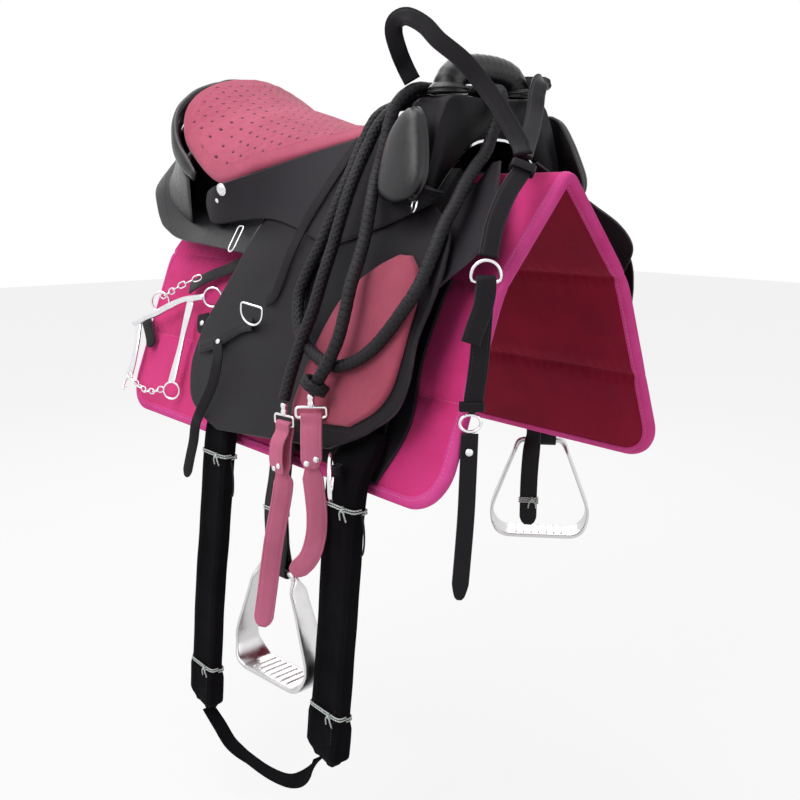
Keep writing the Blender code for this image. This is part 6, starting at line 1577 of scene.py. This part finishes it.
# Bridle looped over the pommel and down before the flap
def makeBridle():
    flatStrap("crownStrap", bridle["crown"], 110, "saddle", "crown_strap")
    flatStrap("browStrap", bridle["brow"], 90, "saddle", "brow_strap")
    flatStrap("cheekStrapUpper", bridle["cheek"], 50, "saddle", "cheek_strap_upper")
    line = evenCurve(bridle["cheek"], 11)
    run = unit(line[1] - line[0])
    across = unit(np.cross(run, upFace))
    deep = np.cross(across, run)
    strapPiece("bridleKeeper", hoopPath((line[0] + line[1]) / 2, across, bridle["width"] / 2 + 0.0030,
        deep, 0.0055), run, 0.011, 0.002, *look("blackLeather"), "bridle_keeper", closed=True)
    dee = np.array(bridle["dee"])
    wirePiece("cheekDee", deePath(dee + (0, 0, -0.0065), (0, 0, 1), along, 0.031, 0.022, 0.004), 0.0019,
        *look("chrome"), "cheek_dee", True)
    bar, fold = dee + (0.0, 0.0, -0.0065), 0.0019 + 2 * touch + bridle["thick"] / 2
    low = lambda u, v, out=0.0: bar + u * along + out * face - v * np.array([0.0, 0.0, 1.0])
    turn = [low(0.0, -fold * math.sin(k), -fold * math.cos(k)) for k in (0.5, 1.57, 2.64)]
    path = [low(-0.0130, 0.1399, 0.0010), low(-0.0060, 0.085, 0.0010), low(-0.0030, 0.040, 0.0),
        low(-0.0008, 0.012, -0.0030)] + turn
    path += [low(0.000, 0.010, 0.0052), low(-0.003, 0.026, 0.0056), low(-0.010, 0.046, 0.0075),
        low(-0.016, 0.064, 0.0095)]
    path = curveAt(path[::-1], np.linspace(0, 1, 121))
    wide = bridle["width"] * pointed(path, 0.012, 0.3)
    strapPiece("cheekStrapLower", path, along, wide, bridle["thick"], *look("blackLeather", "cheek_lower"),
        "cheek_strap_lower", stitched=(0.0032, 0.0042))
    strapPiece("cheekKeeperLow", hoopPath(low(-0.0128, 0.1330, 0.0010), along, 0.0128, face, 0.0038,
        0.0022), (0, 0, 1), 0.010, 0.0018, *look("blackLeather", "cheek_lower"), closed=True)
    wirePiece("cheekRing", ringPath(low(-0.0140, 0.1515), 0.0115, face, 40, 0.82), 0.0018,
        *look("chrome", "cheek_lower"), "cheek_ring", True)
    flatStrap("bridleEndStrap", [low(-0.0145, 0.1631), low(-0.0160, 0.215, 0.001),
        low(-0.0180, 0.265, 0.002), low(-0.0240, 0.352, 0.003)], 70, "bridle_end", "bridle_end_strap",
        0.019, face, tip=0.018)
    studPiece("endStrapStud", low(-0.0150, 0.1830, 0.0012 + 0.0021), face, 0.0042, 0.0022,
        *look("chrome", "bridle_end"))
    for n, drop in enumerate((0.300, 0.316, 0.332)):
        studPiece("endStrapHole%d" % n, low(-0.0195 - 0.006 * (drop - 0.30) / 0.05, drop, 0.0024 + 0.0020),
            face, 0.0017, 0.0003, *look("underLeather", "bridle_end", "black_leather"))


# Pink straps doubled through the snaps, studded where they close
def makeReinEnds():
    width, thick = rein["strap"]
    for tag, end, degrees, tail in (("rear", rein["line"][-1], 45.0, ((0.001, 0.075), (-0.004, 0.105),
            (-0.013, 0.150), (-0.022, 0.210), (-0.030, 0.262))), ("front", rein["line"][0], 0.0,
            ((0.003, 0.090), (0.005, 0.118), (0.003, 0.145), (-0.006, 0.172), (-0.026, 0.192)))):
        eye = np.array(end) + (0.0, 0.0, -rein["eyeDrop"])
        a = math.radians(degrees)
        across, out = along * math.cos(a) + face * math.sin(a), face * math.cos(a) - along * math.sin(a)
        bulge = 0.0145 if degrees else 0.0100
        r = 0.0018 + 0.0006 + thick / 2
        at = lambda u, v, o: eye + u * across + o * out - v * np.array([0.0, 0.0, 1.0])
        front = [at(0, 0.060, 0.0092), at(0, 0.045, bulge), at(0, 0.022, bulge * 0.85), at(0, 0.008, r)]
        over = [at(0, -r * math.sin(k), r * math.cos(k)) for k in (0.5, 1.57, 2.64)]
        back = [at(0, 0.008, -r), at(0, 0.022, 0.0), at(0, 0.045, 0.0040), at(0, 0.060, 0.0055)]
        hang = [eye + u * along + 0.0055 * out - v * np.array([0.0, 0.0, 1.0]) for u, v in tail]
        path = curveAt(front + over + back + hang, np.linspace(0, 1, 181))
        turn = a * (1 - ease((np.linspace(0, 1, 181) - 0.5) / 0.3))
        ways = np.cos(turn)[:, None] * along + np.sin(turn)[:, None] * face
        toe = np.minimum(np.linalg.norm(path - path[-1], axis=1), np.linalg.norm(path - path[0], axis=1))
        wide = width * np.clip(0.35 + 0.65 * np.sqrt(np.clip(toe / 0.012, 0, 1)), 0, 1)
        strapPiece("reinStrap" + tag.title(), path, ways, wide, thick,
            *look("pinkLeather", "rein_end_" + tag), "rein_strap_" + tag)
        for n, drop in enumerate((0.0535, 0.0475)):
            k = int(np.argmin(np.abs(np.linalg.norm(path[:60] - at(0, drop, bulge * 0.9), axis=1))))
            studPiece("reinStud%s%d" % (tag.title(), n), path[k] + out * (thick / 2 + 0.0002)
                + across * (0.0055 if n else -0.0055), out, 0.0036, 0.0020,
                *look("chrome", "rein_end_" + tag))


lead = {"strap": ((0.1191, -0.0905, 0.0395), (0.1115, -0.1025, 0.0209), (0.1028, -0.1154, -0.0003),
    (0.0892, -0.1347, -0.0354), (0.0720, -0.1502, -0.0720), (0.0640, -0.1684, -0.1122),
    (0.0520, -0.1817, -0.1560), (0.0380, -0.1880, -0.1690)), "tail": ((0.0180, -0.1968, -0.1985),
    (-0.0149, -0.1986, -0.2066), (-0.0645, -0.2061, -0.2300), (-0.1090, -0.2110, -0.2440)),
    "hang": ((-0.0600, -0.2082, -0.2285), (-0.0470, -0.2165, -0.2520), (-0.0483, -0.2262, -0.2880),
    (-0.0610, -0.2385, -0.3249), (-0.0740, -0.2400, -0.3450), (-0.0830, -0.2400, -0.3720),
    (-0.0960, -0.2400, -0.3990), (-0.1100, -0.2400, -0.4300))}


# Thin lead strap with its dee, tail and hanging end
def makeLead():
    flatStrap("leadStrap", lead["strap"], 80, "saddle", "lead_strap", 0.014, (0.30, -0.85, 0.45), 0.0030,
        stitched=(0.0026, 0.004))
    tail = flatStrap("leadTail", lead["tail"], 50, "saddle", "lead_tail", 0.017, (0.20, -0.90, 0.30),
        0.0030, stitched=None)
    hang = flatStrap("leadHang", lead["hang"], 80, "saddle", (), 0.015, (0.5, -0.85, 0.1), 0.0030,
        tip=0.012, stitched=None)
    joined([tail, hang])
    wirePiece("leadDee", deePath((0.022, -0.1995, -0.1720), (0.05, -0.12, -1.0), (0.88, 0.40, -0.20),
        0.034, 0.026, 0.003), 0.0016, *look("chrome"), "lead_dee", True)
    studPiece("leadRivet", (-0.0560, -0.2100, -0.2285), (0.3, -0.9, 0.3), 0.0036, 0.0020, *look("chrome"))


makeBridle()
makeReinEnds()
makeLead()
print("bridle is made")

# Bit and fittings

bit = {"bar": 0.0050, "wire": 0.0018}
gear = lambda x, t, d: onSide(x, t, d, -1)


# Oval links along a line, each a quarter turn from the last
def chainPiece(name, points, count, wide, radius, nodes):
    line = evenCurve(points, count + 1)
    middles, ways = (line[1:] + line[:-1]) / 2, unit(line[1:] - line[:-1])
    length = np.linalg.norm(line[1] - line[0]) + 1.3 * radius
    a = aroundBy(28)[:, None]
    links = []
    for k, (centre, way) in enumerate(zip(middles, ways)):
        side = unit(np.cross(way, face))
        side = side if k % 2 == 0 else np.cross(way, side)
        c, n = np.cos(a), np.sin(a)
        path = centre + way * length / 2 * squared(c, 0.8) + side * wide / 2 * squared(n, 0.8)
        links.append(wirePiece(name if k == 0 else "link%d" % k, path, radius, *look("chrome", "bit"),
            nodes if k == 0 else (), True, 10))
    return joined(links)


# Curb bit: mouthpiece and shanks with its rings, the two chains, and its leather tab and hanger
def makeBit():
    bar = evenCurve([gear(-0.405, 0.300, 0.018), gear(-0.368, 0.287, 0.020), gear(-0.330, 0.276, 0.021),
        gear(-0.295, 0.262, 0.021), gear(-0.250, 0.247, 0.021), gear(-0.190, 0.238, 0.022)], 81)
    port = 1.0 + 0.25 * np.exp(-((np.linspace(0, 1, 81) - 0.45) / 0.16) ** 2)
    made = [wirePiece("curbBit", bar, bit["bar"] * np.minimum(port, 1.15), *look("chrome", "bit"), "bit",
        sides=18)]
    toward = unit(0.7 * face + 0.3 * np.array([0.0, -0.94, 0.34]))
    up = unit(np.array([0.0, 0.0, 1.0]) - toward[2] * toward)
    sideways = np.cross(up, toward)
    shanks = ([gear(-0.392, 0.300, 0.018), gear(-0.380, 0.330, 0.017), gear(-0.376, 0.360, 0.016),
        gear(-0.379, 0.388, 0.015)], [gear(-0.232, 0.248, 0.019), gear(-0.234, 0.292, 0.016),
        gear(-0.232, 0.327, 0.015), gear(-0.229, 0.376, 0.015)])
    for points in shanks:
        path = evenCurve(points, 40)
        across = unit(np.cross(slopes(path), np.array((0.35, -0.92, 0.15))))
        wide = 0.006 * (1 + 0.18 * np.cos(np.linspace(0, 2 * math.pi, 40)))
        made.append(sectionPiece("shank", carry(path, across, blockRing(wide, np.full(40, 0.00225),
            np.full(40, 3.0), 20))[0], *look("chrome", "bit")))
    for seatAt, way, radius in ((evenCurve(bar, 11)[4], up, 0.0155), (bar[-1], sideways, 0.0145),
            (np.array(shanks[1][-1]), -up, 0.0130)):
        made.append(wirePiece("ring", ringPath(seatAt + way * radius, radius, toward, 44), bit["wire"],
            *look("chrome", "bit"), closed=True))
    joined(made)
    chainPiece("curbChain", [gear(-0.372, 0.384, 0.0215), gear(-0.341, 0.394, 0.0190),
        gear(-0.300, 0.401, 0.0180), gear(-0.262, 0.396, 0.0190), gear(-0.243, 0.389, 0.0190)], 9, 0.0085,
        0.0012, "curb_chain")
    chainPiece("hobbleChain", [gear(-0.312, 0.250, 0.0300), gear(-0.281, 0.240, 0.0320),
        gear(-0.250, 0.226, 0.0320), gear(-0.222, 0.207, 0.0190)], 7, 0.0085, 0.0012, "hobble_chain")
    flatStrap("bitTab", [gear(-0.395, 0.288, 0.006), gear(-0.375, 0.302, 0.0065),
        gear(-0.358, 0.318, 0.006), gear(-0.352, 0.332, 0.005)], 40, "bit", "bit_tab", 0.022,
        (0.2, -0.93, 0.3), 0.003, tip=0.010, stitched=None)
    flatStrap("bitHanger", [gear(-0.268, 0.226, 0.0080), gear(-0.238, 0.214, 0.0110),
        gear(-0.210, 0.203, 0.0110), gear(-0.170, 0.190, 0.0080), gear(-0.150, 0.182, 0.0080),
        gear(-0.118, 0.174, 0.0080)], 70, "saddle", "bit_hanger", 0.019, (0.15, -0.88, 0.45), 0.003,
        stitched=(0.003, 0.0042))
    hook = evenCurve([gear(-0.381, 0.3885, 0.015), gear(-0.384, 0.400, 0.017), gear(-0.379, 0.412, 0.019),
        gear(-0.372, 0.405, 0.019)], 30)
    wirePiece("shankHook", hook, 0.0016, *look("chrome", "bit"))
    flatStrap("bitStrap", [gear(-0.205, 0.262, 0.0065), gear(-0.200, 0.275, 0.0070),
        gear(-0.190, 0.290, 0.0065)], 24, "bit", (), 0.024, (0.2, -0.93, 0.3), 0.003, tip=0.008,
        stitched=None)
    studPiece("bitStud", gear(-0.199, 0.276, 0.0086), (0.2, -0.93, 0.3), 0.0042, 0.0022,
        *look("chrome", "bit"))


# Front dees on the right seat skirt, and the long dee that the bit's strap hangs from
def makeDees():
    for n, (centre, size) in enumerate((((0.268, -0.1330, -0.020), 0.015),
            ((0.284, -0.1375, -0.036), 0.014))):
        wirePiece("frontDee%d" % n, deePath(np.array(centre), (0.1, -0.35, -1.0), (0.90, -0.30, 0.0), size,
            size, 0.003), 0.0013, *look("chrome"), closed=True)
    top, low = onSide(-0.092, 0.150, 0.0575, -1), onSide(-0.100, 0.190, 0.0530, -1)
    wirePiece("rearDee", deePath(top, low - top, (1.0, 0.0, 0.0), 0.015, 0.040, 0.004), 0.0014,
        *look("chrome"), closed=True)


makeBit()
makeDees()
print("the bit is made")

# Floor and light

studio = {"floor": -0.905, "half": 9, "paper": 0.92, "glow": 0.86, "aim": (0.05, 0, -0.3), "world": 0.20,
    "lamps": (("key", (0.2, -2.2, 1.6), 1.8, 34.0), ("top", (-0.6, -0.4, 2.2), 1.8, 30.0),
    ("rim", (-1.8, 1.4, 1.0), 1.5, 16.0), ("front", (2.4, 0.6, 0.4), 1.4, 7.0))}


# 1 for rays from the camera, mirrors and clear things
def seenRay(tree):
    path = tree.nodes.new("ShaderNodeLightPath")
    share = sums(tree, "MAXIMUM", path.outputs["Is Camera Ray"], path.outputs["Is Glossy Ray"])
    return sums(tree, "MAXIMUM", share, path.outputs["Is Transmission Ray"])


# White floor and backdrop, weak sky and four soft lamps
def makeStudio():
    mesh = bpy.data.meshes.new("floor")
    half = studio["half"]
    corners = [(x, y, studio["floor"]) for x, y in ((-half, -half), (half, -half), (half, half),
        (-half, half))]
    mesh.from_pydata(corners, [], [(0, 1, 2, 3)])
    floor = bpy.data.objects.new("floor", mesh)
    bpy.context.scene.collection.objects.link(floor)
    material = bpy.data.materials.new("paleFloor")
    material.use_nodes = True
    tree = material.node_tree
    tree.nodes.clear()
    matt = node(tree, "ShaderNodeBsdfDiffuse", {"Color": (studio["paper"],) * 3 + (1,)})
    glow = node(tree, "ShaderNodeEmission", {"Color": (1, 1, 1, 1), "Strength": 1.0})
    share = sums(tree, "MULTIPLY", seenRay(tree), studio["glow"])
    mix = node(tree, "ShaderNodeMixShader", {0: share, 1: matt.outputs[0], 2: glow.outputs[0]})
    tree.links.new(mix.outputs[0], tree.nodes.new("ShaderNodeOutputMaterial").inputs[0])
    mesh.materials.append(material)
    world = bpy.data.worlds.new("studio")
    bpy.context.scene.world = world
    world.use_nodes = True
    tree = world.node_tree
    tree.nodes.clear()
    dim = node(tree, "ShaderNodeBackground", {"Color": (1, 1, 1, 1), "Strength": studio["world"]})
    white = node(tree, "ShaderNodeBackground", {"Color": (1, 1, 1, 1), "Strength": 1.0})
    mix = node(tree, "ShaderNodeMixShader", {0: seenRay(tree), 1: dim.outputs[0], 2: white.outputs[0]})
    tree.links.new(mix.outputs[0], tree.nodes.new("ShaderNodeOutputWorld").inputs[0])
    for name, place, size, power in studio["lamps"]:
        lamp = bpy.data.objects.new(name, bpy.data.lights.new(name, "AREA"))
        lamp.data.size, lamp.data.energy = size, power
        lamp.location = place
        lamp.rotation_euler = (Vector(place) - Vector(studio["aim"])).to_track_quat("Z", "Y").to_euler()
        bpy.context.scene.collection.objects.link(lamp)
    bpy.context.scene.view_settings.view_transform = "Standard"


makeStudio()
bpy.context.view_layer.update()
print("the studio is made")
